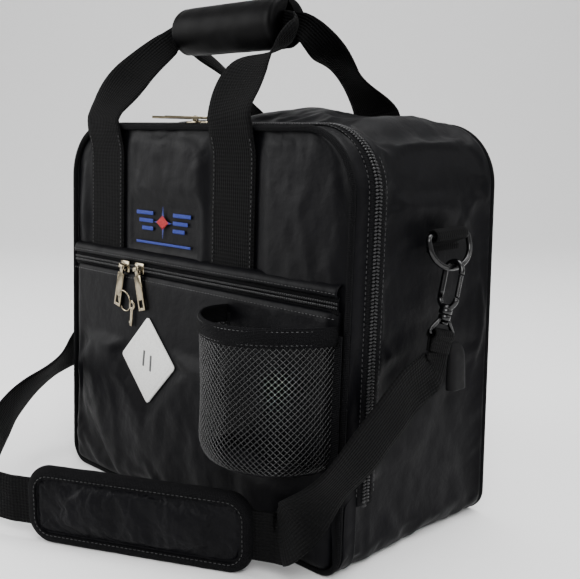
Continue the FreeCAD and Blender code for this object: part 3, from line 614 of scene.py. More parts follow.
# ---------------------------------------------------------------- piping
def tube(name, path, radius, sides=10, closed=False):
    """A round cord swept along points, with a steady frame."""
    points = [Vector(p) for p in path]
    count = len(points)
    rings, uvs = [], []
    side = None
    run = 0.0
    for k, point in enumerate(points):
        ahead = points[(k + 1) % count] if closed else points[min(k + 1, count - 1)]
        behind = points[k - 1] if closed else points[max(k - 1, 0)]
        along = (ahead - behind).normalized()
        if side is None:
            side = along.orthogonal().normalized()
        side = (side - along * side.dot(along)).normalized()
        other = along.cross(side)
        if k:
            run += (point - points[k - 1]).length
        rings.append([point + (side * math.cos(a) + other * math.sin(a)) * radius
                      for a in (2 * math.pi * s / sides for s in range(sides))])
        uvs.append([(run, 2 * math.pi * radius * s / sides) for s in range(sides)])
    piece = grid_piece(name, rings, uvs, round_rows=closed, round_columns=True)
    if not closed:
        close_ends(piece)
    return piece


def close_ends(piece):
    """Fill the open ends and turn every face outwards."""
    work = bmesh.new()
    work.from_mesh(piece.data)
    open_edges = [e for e in work.edges if e.is_boundary]
    bmesh.ops.holes_fill(work, edges=open_edges, sides=0)
    bmesh.ops.recalc_face_normals(work, faces=work.faces)
    work.to_mesh(piece.data)
    work.free()
    return piece


def weld(piece, reach):
    """Join points that lie together, drop what collapses and turn every face outwards."""
    work = bmesh.new()
    work.from_mesh(piece.data)
    bmesh.ops.remove_doubles(work, verts=work.verts, dist=reach)
    bmesh.ops.recalc_face_normals(work, faces=work.faces)
    work.to_mesh(piece.data)
    work.free()
    return piece


def build_piping():
    """Covered cords in the front and back seams."""
    front = [on_face(x, -2.2 * MM, z) for x, z in loop_outline(2.5 * MM, 4 * MM)]
    piece = tube("front_piping_cord", front, 2.4 * MM, closed=True)
    finish_piece(piece, BINDING, None, "piping", "front_piping", "front_piping_lower",
                 blend=LID_FOLD)
    rear = [Vector((x, BACK + 2.2 * MM, z)) for x, z in loop_outline(2.5 * MM, 4 * MM)]
    piece = tube("rear_piping_cord", rear, 2.4 * MM, closed=True)
    finish_piece(piece, BINDING, "root", "piping", "rear_piping")


# ---------------------------------------------------------------- what repeats
def repeat_tree(name, material):
    """Small rounded bars set along a path: pitch, size, slant and material are its inputs."""
    tree = bpy.data.node_groups.new(name, "GeometryNodeTree")
    face = tree.interface
    face.new_socket("Geometry", in_out="INPUT", socket_type="NodeSocketGeometry")
    for label, kind, value in (("Pitch", "NodeSocketFloat", 2.5 * MM),
                               ("Bar", "NodeSocketVector", (1 * MM, 4 * MM, 1 * MM)),
                               ("Slant", "NodeSocketFloat", 0.0)):
        face.new_socket(label, in_out="INPUT", socket_type=kind).default_value = value
    face.new_socket("Geometry", in_out="OUTPUT", socket_type="NodeSocketGeometry")
    given = add(tree, "NodeGroupInput")
    curve = add(tree, "GeometryNodeMeshToCurve", mesh=given.outputs["Geometry"])
    spaced = add(tree, "GeometryNodeResampleCurve", {"mode": "LENGTH"}, curve=curve.outputs[0],
                 length=given.outputs["Pitch"])
    cube = add(tree, "GeometryNodeMeshCube", size=given.outputs["Bar"])
    rounded = add(tree, "GeometryNodeSubdivisionSurface", mesh=cube.outputs["Mesh"], level=1)
    smooth = add(tree, "GeometryNodeSetShadeSmooth", geometry=rounded.outputs[0])
    up = add(tree, "GeometryNodeInputNamedAttribute", {"data_type": "FLOAT_VECTOR"}, name="up")
    wide = add(tree, "GeometryNodeInputNamedAttribute", {"data_type": "FLOAT"}, name="wide")
    tangent = add(tree, "GeometryNodeInputTangent")
    aim = add(tree, "FunctionNodeAxesToRotation", {"primary_axis": "Z", "secondary_axis": "X"},
              i0=up.outputs["Attribute"], i1=tangent.outputs[0])
    turn = add(tree, "ShaderNodeCombineXYZ", z=given.outputs["Slant"])
    slanted = add(tree, "FunctionNodeRotateRotation", {"rotation_space": "LOCAL"},
                  rotation=aim.outputs[0], rotate_by=turn.outputs[0])
    scale = add(tree, "ShaderNodeCombineXYZ", x=1.0, y=wide.outputs["Attribute"], z=1.0)
    bars = add(tree, "GeometryNodeInstanceOnPoints", points=spaced.outputs[0],
               instance=smooth.outputs[0], rotation=slanted.outputs[0], scale=scale.outputs[0])
    real = add(tree, "GeometryNodeRealizeInstances", geometry=bars.outputs[0])
    done = add(tree, "GeometryNodeSetMaterial", geometry=real.outputs[0], material=material)
    out = add(tree, "NodeGroupOutput")
    tree.links.new(done.outputs[0], out.inputs[0])
    return tree


def bars_along(name, paths, material, pitch, bar, slant=0.0, wide=None):
    """Set bars along one or more paths of (point, up); the bar is (along, across, up) in metres."""
    vertices, edges, ups, spread = [], [], [], []
    for path in paths:
        first = len(vertices)
        for number, (point, up) in enumerate(path):
            vertices.append(tuple(point))
            ups.append(tuple(up))
            spread.append(wide[number] if wide else 1.0)
            if number:
                edges.append((first + number - 1, first + number))
    mesh = bpy.data.meshes.new(name)
    mesh.from_pydata(vertices, edges, [])
    mesh.attributes.new("up", "FLOAT_VECTOR", "POINT").data.foreach_set(
        "vector", np.array(ups, np.float32).ravel())
    mesh.attributes.new("wide", "FLOAT", "POINT").data.foreach_set("value", spread)
    piece = bpy.data.objects.new(name, mesh)
    bpy.context.scene.collection.objects.link(piece)
    tree = repeat_tree(name + "_repeat", material)
    modifier = piece.modifiers.new("repeat", "NODES")
    modifier.node_group = tree
    socket = {item.name: item.identifier for item in tree.interface.items_tree
              if item.in_out == "INPUT"}
    modifier[socket["Pitch"]] = pitch
    modifier[socket["Bar"]] = bar
    modifier[socket["Slant"]] = slant
    return bake(piece)


STITCH_PITCH = 3.6 * MM
STITCH = (2.9 * MM, 0.7 * MM, 0.6 * MM)


# ---------------------------------------------------------------- webbing
def flow(values, count_between):
    """A smooth row through key values, with a given number of steps after each."""
    keys = [np.asarray(v, float) for v in values]
    rows = []
    for k in range(len(keys) - 1):
        a, b, c, d = keys[max(k - 1, 0)], keys[k], keys[k + 1], keys[min(k + 2, len(keys) - 1)]
        for t in (s / count_between[k] for s in range(count_between[k])):
            rows.append(b + 0.5 * t * (c - a + t * (2 * a - 5 * b + 4 * c - d
                                                    + t * (3 * (b - c) + d - a))))
    rows.append(keys[-1])
    return rows


def ribbon_frames(stations, step=4 * MM):
    """Smooth (middle, side, normal, width, cup, run) rows along stations in metres."""
    middles = [s[0] for s in stations]
    counts = [max(2, round(math.dist(a, b) / step)) for a, b in zip(middles, middles[1:])]
    middle = [Vector(m) for m in flow(middles, counts)]
    across = flow([s[1] for s in stations], counts)
    other = flow([(s[2], s[3] if len(s) > 3 else 0.0) for s in stations], counts)
    rows, run = [], 0.0
    for k, point in enumerate(middle):
        along = (middle[min(k + 1, len(middle) - 1)] - middle[max(k - 1, 0)]).normalized()
        side = Vector(across[k])
        side = (side - along * side.dot(along)).normalized()
        run += (point - middle[k - 1]).length if k else 0.0
        rows.append((point, side, along.cross(side), other[k][0], other[k][1], run))
    return rows


def ribbon(name, stations, thick=2.2 * MM, columns=11, ripple=0.3 * MM, seed=1.0, step=4 * MM):
    """Flat webbing with firm rounded selvedges; cup is how far its middle stands proud."""
    rings, uvs = [], []
    for middle, side, normal, width, cup, run in ribbon_frames(stations, step):
        ring, marks = [], []
        for j in range(2 * columns):
            outer = j < columns
            u = -1 + 2 * (j if outer else 2 * columns - 1 - j) / (columns - 1)
            slack = noise.noise(Vector((run * 45, u * 1.4, seed)))
            lift = cup * (1 - u * u) + ripple * slack
            half = thick / 2 * (1 - 0.5 * abs(u) ** 10)
            ring.append(middle + side * (u * width / 2) + normal * (lift + (half if outer else -half)))
            marks.append((run, u * width / 2))
        rings.append(ring)
        uvs.append(marks)
    return close_ends(grid_piece(name, rings, uvs, round_columns=True))


def edge_stitches(stations, inset, outward, last, lift=1.25 * MM):
    """Two stitch lines by a ribbon's selvedges, on its outward side, from its start to a length."""
    rows = ribbon_frames(stations)
    paths = []
    for sign in (-1, 1):
        path = []
        for middle, side, normal, width, cup, run in rows:
            if run <= last:
                u = 1 - 2 * inset / width
                out = normal if normal.dot(outward) > 0 else -normal
                height = out * lift + normal * cup * (1 - u * u)
                path.append((middle + side * (sign * u * width / 2) + height, out))
        paths.append(path)
    return paths


def in_mm(stations):
    """Ribbon stations given in millimetres, turned into metres."""
    return [(tuple(c * MM for c in s[0]), s[1], *(v * MM for v in s[2:])) for s in stations]


LEG_LEFT, LEG_RIGHT, LEG_LOW = -120, 50, 211
GRIP_X, GRIP_Z, GRIP_HALF = -31, 400, 66


def handle_stations(x, toward, front):
    """One leg and its loop up to the grip, from low on the bag, in millimetres."""
    end_x = GRIP_X - toward * (GRIP_HALF - 4)
    sign = -1 if front else 1
    if front:
        low = [tuple(on_face(x * MM, d * MM, z * MM) / MM) for d, z in
               ((-1.5, LEG_LOW), (-1.6, 240), (-1.6, 270), (-1.8, 296), (-4.4, 309), (-6.2, 318))]
    else:
        low = [(x, 85 + d, z) for d, z in
               ((1.3, LEG_LOW), (1.4, 240), (1.4, 270), (1.6, 296), (4.2, 309), (5.8, 318))]
    rows = [(point, (1, 0, 0), 50) for point in low]
    edge = low[-1][1]
    rows += [((x + toward * 2, edge - sign * 2, 332), (1, 0, -0.06 * toward), 49, 0.6),
             ((x + toward * 9, edge * 0.64, 364), (0.8, sign * -0.5, -0.25 * toward), 36, 3),
             ((end_x - toward * 17, sign * 11, 392), (0.45, 0.1 * sign, -0.8 * toward), 24, 3.5),
             ((end_x - toward * 3, sign * 6.5, 400), (0, 0, -toward), 18, 2),
             ((end_x + toward * 14, sign * 5.5, 400), (0, 0, -toward), 16, 1)]
    return in_mm(rows)


def build_handles():
    """Carry handles: 50 mm webbing from the pockets up the bag, folded into the grip."""
    for front in (True, False):
        word = "front" if front else "rear"
        outward = -ALONG_Y if front else ALONG_Y
        paths = []
        for side, x, toward in (("left", LEG_LEFT, 1), ("right", LEG_RIGHT, -1)):
            stations = handle_stations(x, toward, front)
            piece = ribbon("%s_handle_%s" % (word, side), stations, seed=x * 0.37)
            nodes = ["%s_handle_leg_%s" % (word, side)]
            if side == "left":
                nodes.append(word + "_handle_loop")
            blend = ("lid", "root", (0, -0.07, 0.322), (0, -0.03, 0.392)) if front else None
            finish_piece(piece, WEBBING, "root", "webbing", *nodes, blend=blend)
            paths += edge_stitches(stations, 3.2 * MM, outward, 100 * MM)
        seam = bars_along(word + "_handle_stitches", paths, BLACK_THREAD, 3.4 * MM,
                          (2.9 * MM, 0.75 * MM, 0.7 * MM))
        finish_piece(seam, BLACK_THREAD, "lid" if front else "root", "webbing")


def build_grip():
    """Padded wrap closed round both handles: a fixed rear half and a front flap."""
    outer, inner, rows, around = 20.8 * MM, 15.2 * MM, 50, 26
    for name, body, start in (("grip_flap", "grip_flap", 90), ("grip_back", "root", -90)):
        rings, uvs = [], []
        for i in range(rows + 1):
            s = i / rows
            x = (GRIP_X - GRIP_HALF) * MM + 2 * GRIP_HALF * MM * s
            near = min(s, 1 - s) * 2 * GRIP_HALF * MM
            end = math.sqrt(max(1 - (1 - min(near / (7 * MM), 1)) ** 2, 0))
            hem = 0.8 * MM * math.exp(-((near - 9 * MM) / (1.4 * MM)) ** 2)
            big = inner + (outer - inner) * (0.42 + 0.58 * end) - hem
            ring, marks = [], []
            for j in range(2 * around):
                out = j < around
                t = (j if out else 2 * around - 1 - j) / (around - 1)
                side = abs(2 * t - 1)
                a = math.radians(start + 0.8 + (180 - 1.6) * t)
                soft = big - 0.9 * MM * max(side - 0.86, 0) / 0.14
                radius = soft if out else inner
                ring.append(Vector((x, radius * math.cos(a), GRIP_Z * MM + radius * math.sin(a))))
                marks.append((x, a * outer))
            rings.append(ring)
            uvs.append(marks)
        piece = close_ends(grid_piece(name + "_cloth", rings, uvs, round_columns=True))
        free = []
        for point in coordinates(piece):
            far = math.hypot(point[1], point[2] - GRIP_Z * MM)
            open_edge = min(abs(point[1]) / (4 * MM), 1)
            free.append(open_edge if far > inner + 2 * MM else 0.0)
        crush(piece, 0.4 * MM, 26 * MM, 21, stretch=(0.6, 1, 1), free=free)
        smooth_once(piece)
        finish_piece(piece, SHADED_WRAP_NYLON, body, "padded_nylon", name)
        paths = []
        for sign in (-1, 1):
            x = GRIP_X * MM + sign * (GRIP_HALF - 9) * MM
            turns = [math.radians(start + 6 + 168 * k / 30) for k in range(31)]
            paths.append([(Vector((x, 20.3 * MM * math.cos(a), GRIP_Z * MM + 20.3 * MM * math.sin(a))),
                           Vector((0, math.cos(a), math.sin(a)))) for a in turns])
        seam = bars_along(name + "_stitches", paths, BLACK_THREAD, 3.4 * MM,
                          (2.8 * MM, 0.7 * MM, 0.6 * MM))
        finish_piece(seam, BLACK_THREAD, body, "padded_nylon")


# ---------------------------------------------------------------- zips
def chain_path(depth, lift, low):
    """Where a zip chain runs round the bag: (point, up) above a height."""
    outline = loop_outline(-lift, 3 * MM)
    keep = [k for k, (x, z) in enumerate(outline) if z > low]
    path = []
    for k in range(keep[0], keep[-1] + 1):
        (x, z), a, b = outline[k], outline[k - 1], outline[(k + 1) % len(outline)]
        along = Vector((b[0] - a[0], 0, b[1] - a[1])).normalized()
        path.append((on_face(x, depth, z), FACE_TURN.to_3x3() @ Vector((along.z, 0, -along.x))))
    return path


def build_main_zip():
    """Coil zip round the lid: two woven tapes and two rows of slanted nylon coils."""
    for word, depths, teeth, body, node in (
            ("front", (12.2, 14, 16, 18, 19.6), 18.1, "lid", "main_zip_front"),
            ("rear", (20.4, 22, 24, 26, 27.8), 21.9, "root", "main_zip_rear")):
        lift = [0.5 * MM, 0.7 * MM, 0.8 * MM, 0.8 * MM, 0.8 * MM]
        tape = strip_along("main_zip_tape_" + word, [d * MM for d in depths], 0.6 * MM,
                           52 * MM, lift if word == "front" else lift[::-1])
        thicken(tape, 0.6 * MM, -1.0)
        finish_piece(tape, TAPE, body, "zip_coil", node,
                     blend=LID_FOLD if word == "front" else None)
        slant = math.radians(16 if word == "front" else -16)
        coil = bars_along("main_zip_coil_" + word, [chain_path(teeth * MM, 1.3 * MM, 56 * MM)], COIL,
                          2.5 * MM, (2.3 * MM, 4.6 * MM, 2.4 * MM), slant)
        finish_piece(coil, COIL, body, "zip_coil")
    stitch_rows = [("lid", [chain_path(10.6 * MM, 1.0 * MM, 60 * MM)]),
                   ("root", [chain_path(29.2 * MM, 0.7 * MM, 60 * MM)])]
    for body, paths in stitch_rows:
        seam = bars_along("zip_stitches_" + body, paths, BLACK_THREAD, STITCH_PITCH, STITCH)
        finish_piece(seam, BLACK_THREAD, body, "zip_coil")
    stops = [[(on_face(sign * (HALF_WIDTH + 0.3 * MM), 20 * MM, z), ALONG_X * sign)
              for z in (52 * MM, 58 * MM)] for sign in (-1, 1)]
    ends = bars_along("main_zip_ends", stops, BLACK_THREAD, 1.1 * MM, (1.2 * MM, 7 * MM, 1.6 * MM))
    finish_piece(ends, COIL, "root", "zip_coil", "main_zip_stops")


def face_strip(name, profile, half, material, slot, *nodes, step=4 * MM, waves=0.5 * MM, seed=2):
    """A long strip across the front from a (depth, height) profile in millimetres."""
    count = int(2 * half / step)
    grid, uvs = [], []
    run = np.cumsum([0] + [math.dist(a, b) * MM for a, b in zip(profile, profile[1:])])
    for k in range(count + 1):
        x = -half + 2 * half * k / count
        sway = noise.noise(Vector((x * 22, seed, 0))) * waves
        grid.append([on_face(x, d * MM - sway, z * MM + 0.6 * sway) for d, z in profile])
        uvs.append([(x, r) for r in run])
    strip = grid_piece(name, grid, uvs)
    smooth_once(strip)
    thicken(strip, 0.8 * MM, 1.0 if profile[0][1] < profile[-1][1] else -1.0)
    return finish_piece(strip, material, "lid", slot, *nodes)


def build_pocket_zip():
    """Zip across the pocket's mouth, under a folded welt."""
    half = 166 * MM
    face_strip("pocket_zip_tape", [(-4.4, 191.5), (-5.0, 194), (-5.2, 198), (-5.0, 202), (-4.2, 205)],
               half, TAPE, "zip_coil", "pocket_zip")
    face_strip("pocket_welt_cloth",
               [(-3.0, 203.6), (-5.6, 203.0), (-7.2, 204.2), (-7.7, 206.6), (-6.9, 209.6),
                (-4.6, 211.8), (-1.6, 212.8), (-0.4, 213.2)], half, NYLON, "shell_nylon", "pocket_welt",
               waves=0.9 * MM)
    for row, z, slant in (("low", 196.6, 16), ("high", 199.4, -16)):
        path = [(on_face(x * MM, -5.9 * MM, z * MM), FACE_OUT) for x in (-165, 0, 165)]
        coil = bars_along("pocket_zip_coil_" + row, [path], COIL, 2.2 * MM,
                          (2.0 * MM, 3.2 * MM, 1.8 * MM), math.radians(slant))
        finish_piece(coil, COIL, "lid", "zip_coil")
    lines = [[(on_face(x * MM, d * MM, z * MM), FACE_OUT) for x in range(-164, 165, 8)]
             for d, z in ((-8.3, 206.4), (-8.0, 189.0))]
    seam = bars_along("pocket_stitches", lines, BLACK_THREAD, STITCH_PITCH, STITCH)
    finish_piece(seam, BLACK_THREAD, "lid", "shell_nylon")


# ---------------------------------------------------------------- pockets
def build_front_pocket():
    """Flat document pocket over the lower front, slack and puffed towards its foot."""
    half, low, high, rows, columns = 166 * MM, 2.5 * MM, 193.5 * MM, 50, 86
    grid, uvs = [], []
    for i in range(rows + 1):
        s = i / rows
        z = low + (high - low) * s
        row, marks = [], []
        for j in range(columns + 1):
            u = 2 * j / columns - 1
            edge = min((1 - abs(u)) * half / (9 * MM), 1)
            foot = min(s * (high - low) / (16 * MM), 1)
            head = min((1 - s) * (high - low) / (7 * MM), 1)
            rise = math.sqrt(max(1 - (1 - edge) ** 2, 0)) * math.sqrt(max(1 - (1 - foot) ** 2, 0))
            lip = 0.62 + 0.38 * math.sqrt(max(1 - (1 - head) ** 2, 0))
            out = 7.6 * MM * rise * lip
            row.append(on_face(u * half * (1 if s > 0.04 else 0.97 + 0.75 * s), -out, z))
            marks.append((u * half, z))
        grid.append(row)
        uvs.append(marks)
    sheet = grid_piece("front_pocket_cloth", grid, uvs)
    count = columns + 1
    pins = [k for k in range((rows + 1) * count)
            if k // count in (0, rows) or k % count in (0, columns)]
    free = [a * sewn_room(x, z) for a, (x, z) in zip(rim_room(rows + 1, count, 3),
                                                     [mark for row in uvs for mark in row])]
    settle(sheet, pins, grow=0.04, pressure=1.2, limit=3.6 * MM, free=free)
    crush(sheet, 2.4 * MM, 58 * MM, 15, stretch=(1, 1, 0.7), free=free)
    crush(sheet, 1.0 * MM, 22 * MM, 14, stretch=(1, 1, 0.6), free=free)
    smooth_once(sheet)
    thicken(sheet, 0.9 * MM, -1.0)
    finish_piece(sheet, NYLON, None, "shell_nylon", "front_pocket", "front_pocket_lower",
                 blend=LID_FOLD)


BOTTLE_X, BOTTLE_HALF, BOTTLE_OUT = 110 * MM, 57 * MM, 56 * MM
BOTTLE_LOW, BOTTLE_RIM, BOTTLE_TOP = 76 * MM, 171 * MM, 184 * MM
BOTTLE_BACK = -7.6 * MM


def bottle_point(turn, share, z, proud=0.0):
    """A place on the bottle pocket's half-oval wall."""
    return on_face(BOTTLE_X + (BOTTLE_HALF * share + proud) * math.cos(turn),
                   BOTTLE_BACK - (BOTTLE_OUT * share + proud) * math.sin(turn), z)


def build_bottle_net():
    """Wall of the bottle pocket: a knitted diamond net."""
    # the real net has about 2 mm between knots and would vanish, so it is drawn at over 4 mm
    cells, rows = 38, 42
    points, faces = [], []
    index = {}

    def corner(i, j):
        """A knot of the net; knots of odd rows sit half a cell over."""
        if (i, j) not in index:
            share_up = i / rows
            z = BOTTLE_LOW + 3 * MM + (BOTTLE_RIM - BOTTLE_LOW - 1 * MM) * share_up
            round_off = min(share_up / 0.2, 1)
            share = 0.80 + 0.20 * math.sqrt(max(1 - (1 - round_off) ** 2, 0))
            turn = math.pi * min(max((j + 0.5 * (i % 2)) / cells, 0), 1)
            loose = noise.noise(Vector((math.cos(turn) * 2.3, share_up * 2.2, 4.0)))
            share *= 1 + 0.022 * loose - 0.02 * math.sin(math.pi * share_up)
            index[(i, j)] = len(points)
            points.append(bottle_point(turn, share, z))
        return index[(i, j)]

    for i in range(rows - 1):
        shift = i % 2
        for j in range(cells):
            left = corner(i + 1, j - 1 + shift) if j + shift else None
            right = corner(i + 1, j + shift)
            low = corner(i, j)
            if left is not None:
                faces.append((low, right, corner(i + 2, j), left))
    net = piece_from("bottle_pocket_net", points, faces)
    strands = net.modifiers.new("strands", "WIREFRAME")
    strands.thickness = 1.0 * MM
    strands.use_even_offset = False
    strands.use_boundary = True
    strands.offset = 0.0
    bake(net)
    finish_piece(net, NET, "lid", "mesh", "bottle_pocket")


def build_bottle_foot():
    """Cloth foot of the bottle pocket."""
    rings, uvs = [], []
    for share, z in ((0.02, 76.4), (0.3, 76.4), (0.6, 76.2), (0.76, 77), (0.84, 80), (0.88, 83.5)):
        rings.append([bottle_point(math.pi * k / 48, share, z * MM, 0.3 * MM) for k in range(49)])
        uvs.append([(k * 3.7 * MM, share * 60 * MM) for k in range(49)])
    foot = grid_piece("bottle_pocket_foot", rings, uvs)
    crush(foot, 0.4 * MM, 12 * MM, 31)
    thicken(foot, 1.0 * MM, 0.0)
    finish_piece(foot, NYLON, "lid", "mesh")


def build_bottle_rim():
    """Bound rim of the bottle pocket, its side flanges and the stitches along the rim."""
    mid = (BOTTLE_RIM + BOTTLE_TOP) / 2
    rim = []
    for k in range(37):
        turn = math.pi * k / 36
        place = bottle_point(turn, 1.0, mid + 0.8 * MM * math.sin(turn * 3), 0.2 * MM)
        rim.append((tuple(place), tuple(FACE_UP), 13.5 * MM, -1.1 * MM))
    band = ribbon("bottle_pocket_rim", rim, 2.6 * MM, seed=9)
    finish_piece(band, BINDING, "lid", "piping", "bottle_pocket_binding")
    for sign, word in ((-1, "left"), (1, "right")):
        x = BOTTLE_X + sign * (BOTTLE_HALF + 1 * MM)
        flange = [(tuple(on_face(x - sign * (2 if z < 90 else 0) * MM, BOTTLE_BACK + 0.4 * MM, z * MM)),
                   (1, 0, 0), (9 if z > 80 else 7) * MM, 0.5 * MM) for z in (72, 90, 120, 150, 178)]
        strip = ribbon("bottle_pocket_flange_" + word, flange, 1.8 * MM, seed=11 * sign)
        finish_piece(strip, BINDING, "lid", "piping")
    paths = []
    for lift in (-4.6 * MM, 4.6 * MM):
        path = []
        for k in range(3, 46):
            turn = math.pi * k / 48
            normal = Vector((math.cos(turn), -math.sin(turn), 0))
            path.append((bottle_point(turn, 1.0, mid + lift + 0.8 * MM * math.sin(turn * 3), 1.9 * MM),
                         normal))
        paths.append(path)
    seam = bars_along("bottle_pocket_stitches", paths, BLACK_THREAD, 3.4 * MM,
                      (2.7 * MM, 0.7 * MM, 0.6 * MM))
    finish_piece(seam, BLACK_THREAD, "lid", "piping")


# ---------------------------------------------------------------- tag and badge
TAG_X, TAG_Z, TAG_REACH = -48 * MM, 121 * MM, 38 * MM


def build_tag():
    """White diamond tag with rounded corners, a stitched line and two dark printed strokes."""
    outline = []
    round_off = 3 * MM
    for quarter in range(4):
        turn = math.radians(90 * quarter)
        for k in range(7):
            a = turn + math.radians(-45 + 15 * k)
            reach = TAG_REACH - round_off * math.sqrt(2)
            outline.append((reach * math.cos(turn) + round_off * math.cos(a),
                            reach * math.sin(turn) + round_off * math.sin(a)))
    rings, uvs = [], []
    for share, depth in ((0.999, -8.2), (1.0, -9.0), (0.985, -9.4), (0.93, -9.5), (0.5, -9.5),
                         (0.01, -9.5)):
        rings.append([on_face(TAG_X + x * share, depth * MM, TAG_Z + z * share) for x, z in outline])
        uvs.append([(x * share, z * share) for x, z in outline])
    tag = close_ends(grid_piece("tag_body", rings, uvs, round_columns=True))
    finish_piece(tag, TAG, "lid", "white_tag", "tag")
    line = [(on_face(TAG_X + x * 0.86, -9.6 * MM, TAG_Z + z * 0.86), FACE_OUT)
            for x, z in outline + outline[:1]]
    seam = bars_along("tag_stitches", [line], WHITE_THREAD, 2.8 * MM, (2.2 * MM, 0.6 * MM, 0.45 * MM))
    finish_piece(seam, WHITE_THREAD, "lid", "white_tag")
    strokes = [[(on_face(TAG_X + x * MM, -9.6 * MM, TAG_Z + z * MM), FACE_OUT) for x, z in pair]
               for pair in (((-5.5, -5), (-4, 8)), ((4.5, -8), (5.5, 5)))]
    marks = bars_along("tag_strokes", strokes, BLACK_THREAD, 0.7 * MM, (1.2 * MM, 3.6 * MM, 0.5 * MM))
    finish_piece(marks, BLACK_THREAD, "lid", "white_tag")


def build_badge():
    """Embroidered generic emblem: a compass star between two sets of bars over a plain rule."""
    x0, z0 = -39 * MM, 235 * MM

    def row(a, b, count=12):
        return [(on_face(x0 + (a[0] + (b[0] - a[0]) * k / count) * MM, -1.1 * MM,
                         z0 + (a[1] + (b[1] - a[1]) * k / count) * MM), FACE_OUT)
                for k in range(count + 1)]

    bars = [row((sign * 14, z), (sign * reach, z)) for sign in (-1, 1)
            for z, reach in ((11, 37), (4.5, 33), (-2, 29))]
    wings = bars_along("badge_bars", bars, BLUE_THREAD, 0.62 * MM, (0.6 * MM, 4.6 * MM, 0.7 * MM))
    finish_piece(wings, BLUE_THREAD, "lid", "badge_thread", "badge")
    rule = bars_along("badge_rule", [row((-37, -14), (37, -14), 30)], BLUE_THREAD, 0.62 * MM,
                      (0.6 * MM, 3.0 * MM, 0.7 * MM))
    finish_piece(rule, BLUE_THREAD, "lid", "badge_thread")
    taper = [max(1 - abs(k / 6 - 1), 0.03) for k in range(13)]
    arms = [row((-12, 4), (12, 4)), row((0, -9), (0, 17))]
    star = bars_along("badge_star", arms, BLUE_THREAD, 0.62 * MM, (0.6 * MM, 7 * MM, 0.7 * MM),
                      wide=taper)
    finish_piece(star, BLUE_THREAD, "lid", "badge_thread")
    middle = [(on_face(x0 + p * MM, -1.6 * MM, z0 + 4 * MM), FACE_OUT) for p in (-8, -4, 0, 4, 8)]
    dot = bars_along("badge_middle", [middle], RED_THREAD, 0.55 * MM, (0.55 * MM, 16 * MM, 0.8 * MM),
                     wide=[0.04, 0.52, 1.0, 0.52, 0.04])
    finish_piece(dot, RED_THREAD, "lid", "badge_thread")


# ---------------------------------------------------------------- shoulder strap
RING_Y, RING_Z, RING_OUT = 20, 240, 6.2
RING_WRAP, EYE_WRAP = 4.4, 3.9
HOOK_TILT = math.radians(16)
EYE_BAR = Vector((187.67, 20, 215.85))
TAIL_END = Vector((EYE_BAR.x, 2.3, 154.1))
WEB = 38
PAD_TURN = math.radians(26.6)
PAD_MIDDLE = Vector((40, -164, 31.2))
PAD_LENGTH, PAD_HEIGHT, PAD_CORNER = 187, 61.6, 20
PAD_ALONG = Vector((math.cos(PAD_TURN), math.sin(PAD_TURN), 0))
HANG_DOWN = Vector((0, -math.sin(HOOK_TILT), -math.cos(HOOK_TILT)))
HANG_ACROSS = Vector((0, -math.cos(HOOK_TILT), math.sin(HOOK_TILT)))


def strap_stations(side):
    """The 38 mm strap from the sewn loop under the hook to the pad, in millimetres."""
    sign = 1 if side == "right" else -1
    end = Vector((sign * TAIL_END.x, TAIL_END.y, TAIL_END.z))
    rows = [(tuple(end - HANG_DOWN * 2), tuple(HANG_ACROSS), 24, 1.0),
            (tuple(end + HANG_DOWN * 10), tuple(HANG_ACROSS), 28, 1.5)]
    free = PAD_LENGTH / 2 + 12.5
    if side == "right":
        pad_end = PAD_MIDDLE + PAD_ALONG * free
        rows += [((190.7, -14.7, 140.6), (0, -0.6, 0.6), 33, 1.5),
                 ((193, -36, 134), (0, -0.45, 0.89), WEB, 1), ((194, -60, 119), (0, -0.5, 0.86), WEB),
                 ((192, -84, 100), (0.05, -0.5, 0.86), WEB), ((184, -106, 79), (0.3, -0.3, 0.9), WEB),
                 ((168, -119, 56), (0.25, 0, 1), WEB), ((153, -119, 39), (0.1, 0, 1), WEB)]
        rows += [(tuple(pad_end + PAD_ALONG * 6), (0, 0, 1), WEB), (tuple(pad_end), (0, 0, 1), WEB),
                 (tuple(pad_end - PAD_ALONG * 18), (0, 0, 1), WEB)]
        return in_mm(rows)
    # the left side runs straight through the tri-glide
    pad_end = PAD_MIDDLE - PAD_ALONG * free
    glide, run = Vector((-101, -209.5, 41)), Vector((22, -13, -10)).normalized()
    rows += [((-188.7, -12.7, 136), (0, -0.6, 0.6), 33, 1.5), ((-193, -30, 128), (0, -0.5, 0.85), WEB),
             ((-199, -57, 107), (0.2, -0.3, 0.9), WEB), ((-196, -92, 88), (0.6, 0.1, 0.8), WEB),
             ((-176, -140, 72), (0.5, -0.3, 0.8), WEB), ((-146, -177, 60), (0.2, -0.3, 0.95), WEB)]
    rows += [(tuple(glide + run * step), (0, 0, 1), WEB) for step in (-24, -18, 18, 24)]
    rows += [(tuple(pad_end - PAD_ALONG * 6), (0, 0, 1), WEB), (tuple(pad_end), (0, 0, 1), WEB),
             (tuple(pad_end + PAD_ALONG * 18), (0, 0, 1), WEB)]
    return in_mm(rows)


def build_strap():
    """The two lengths of shoulder strap, each led from its hook into the pad."""
    for side, sign, seed in (("right", 1, 3.3), ("left", -1, 8.8)):
        stations = strap_stations(side)
        piece = ribbon("shoulder_strap_" + side, stations, seed=seed, ripple=0.5 * MM)
        nodes = ["strap_right", "strap_in_pad"] if side == "right" else ["strap_left"]
        low, high = (sign * 0.190, -0.070, 0.110), (sign * 0.188, 0.0, 0.150)
        finish_piece(piece, WEBBING, None, "webbing", *nodes,
                     blend=("root", "ring_" + side, low, high))


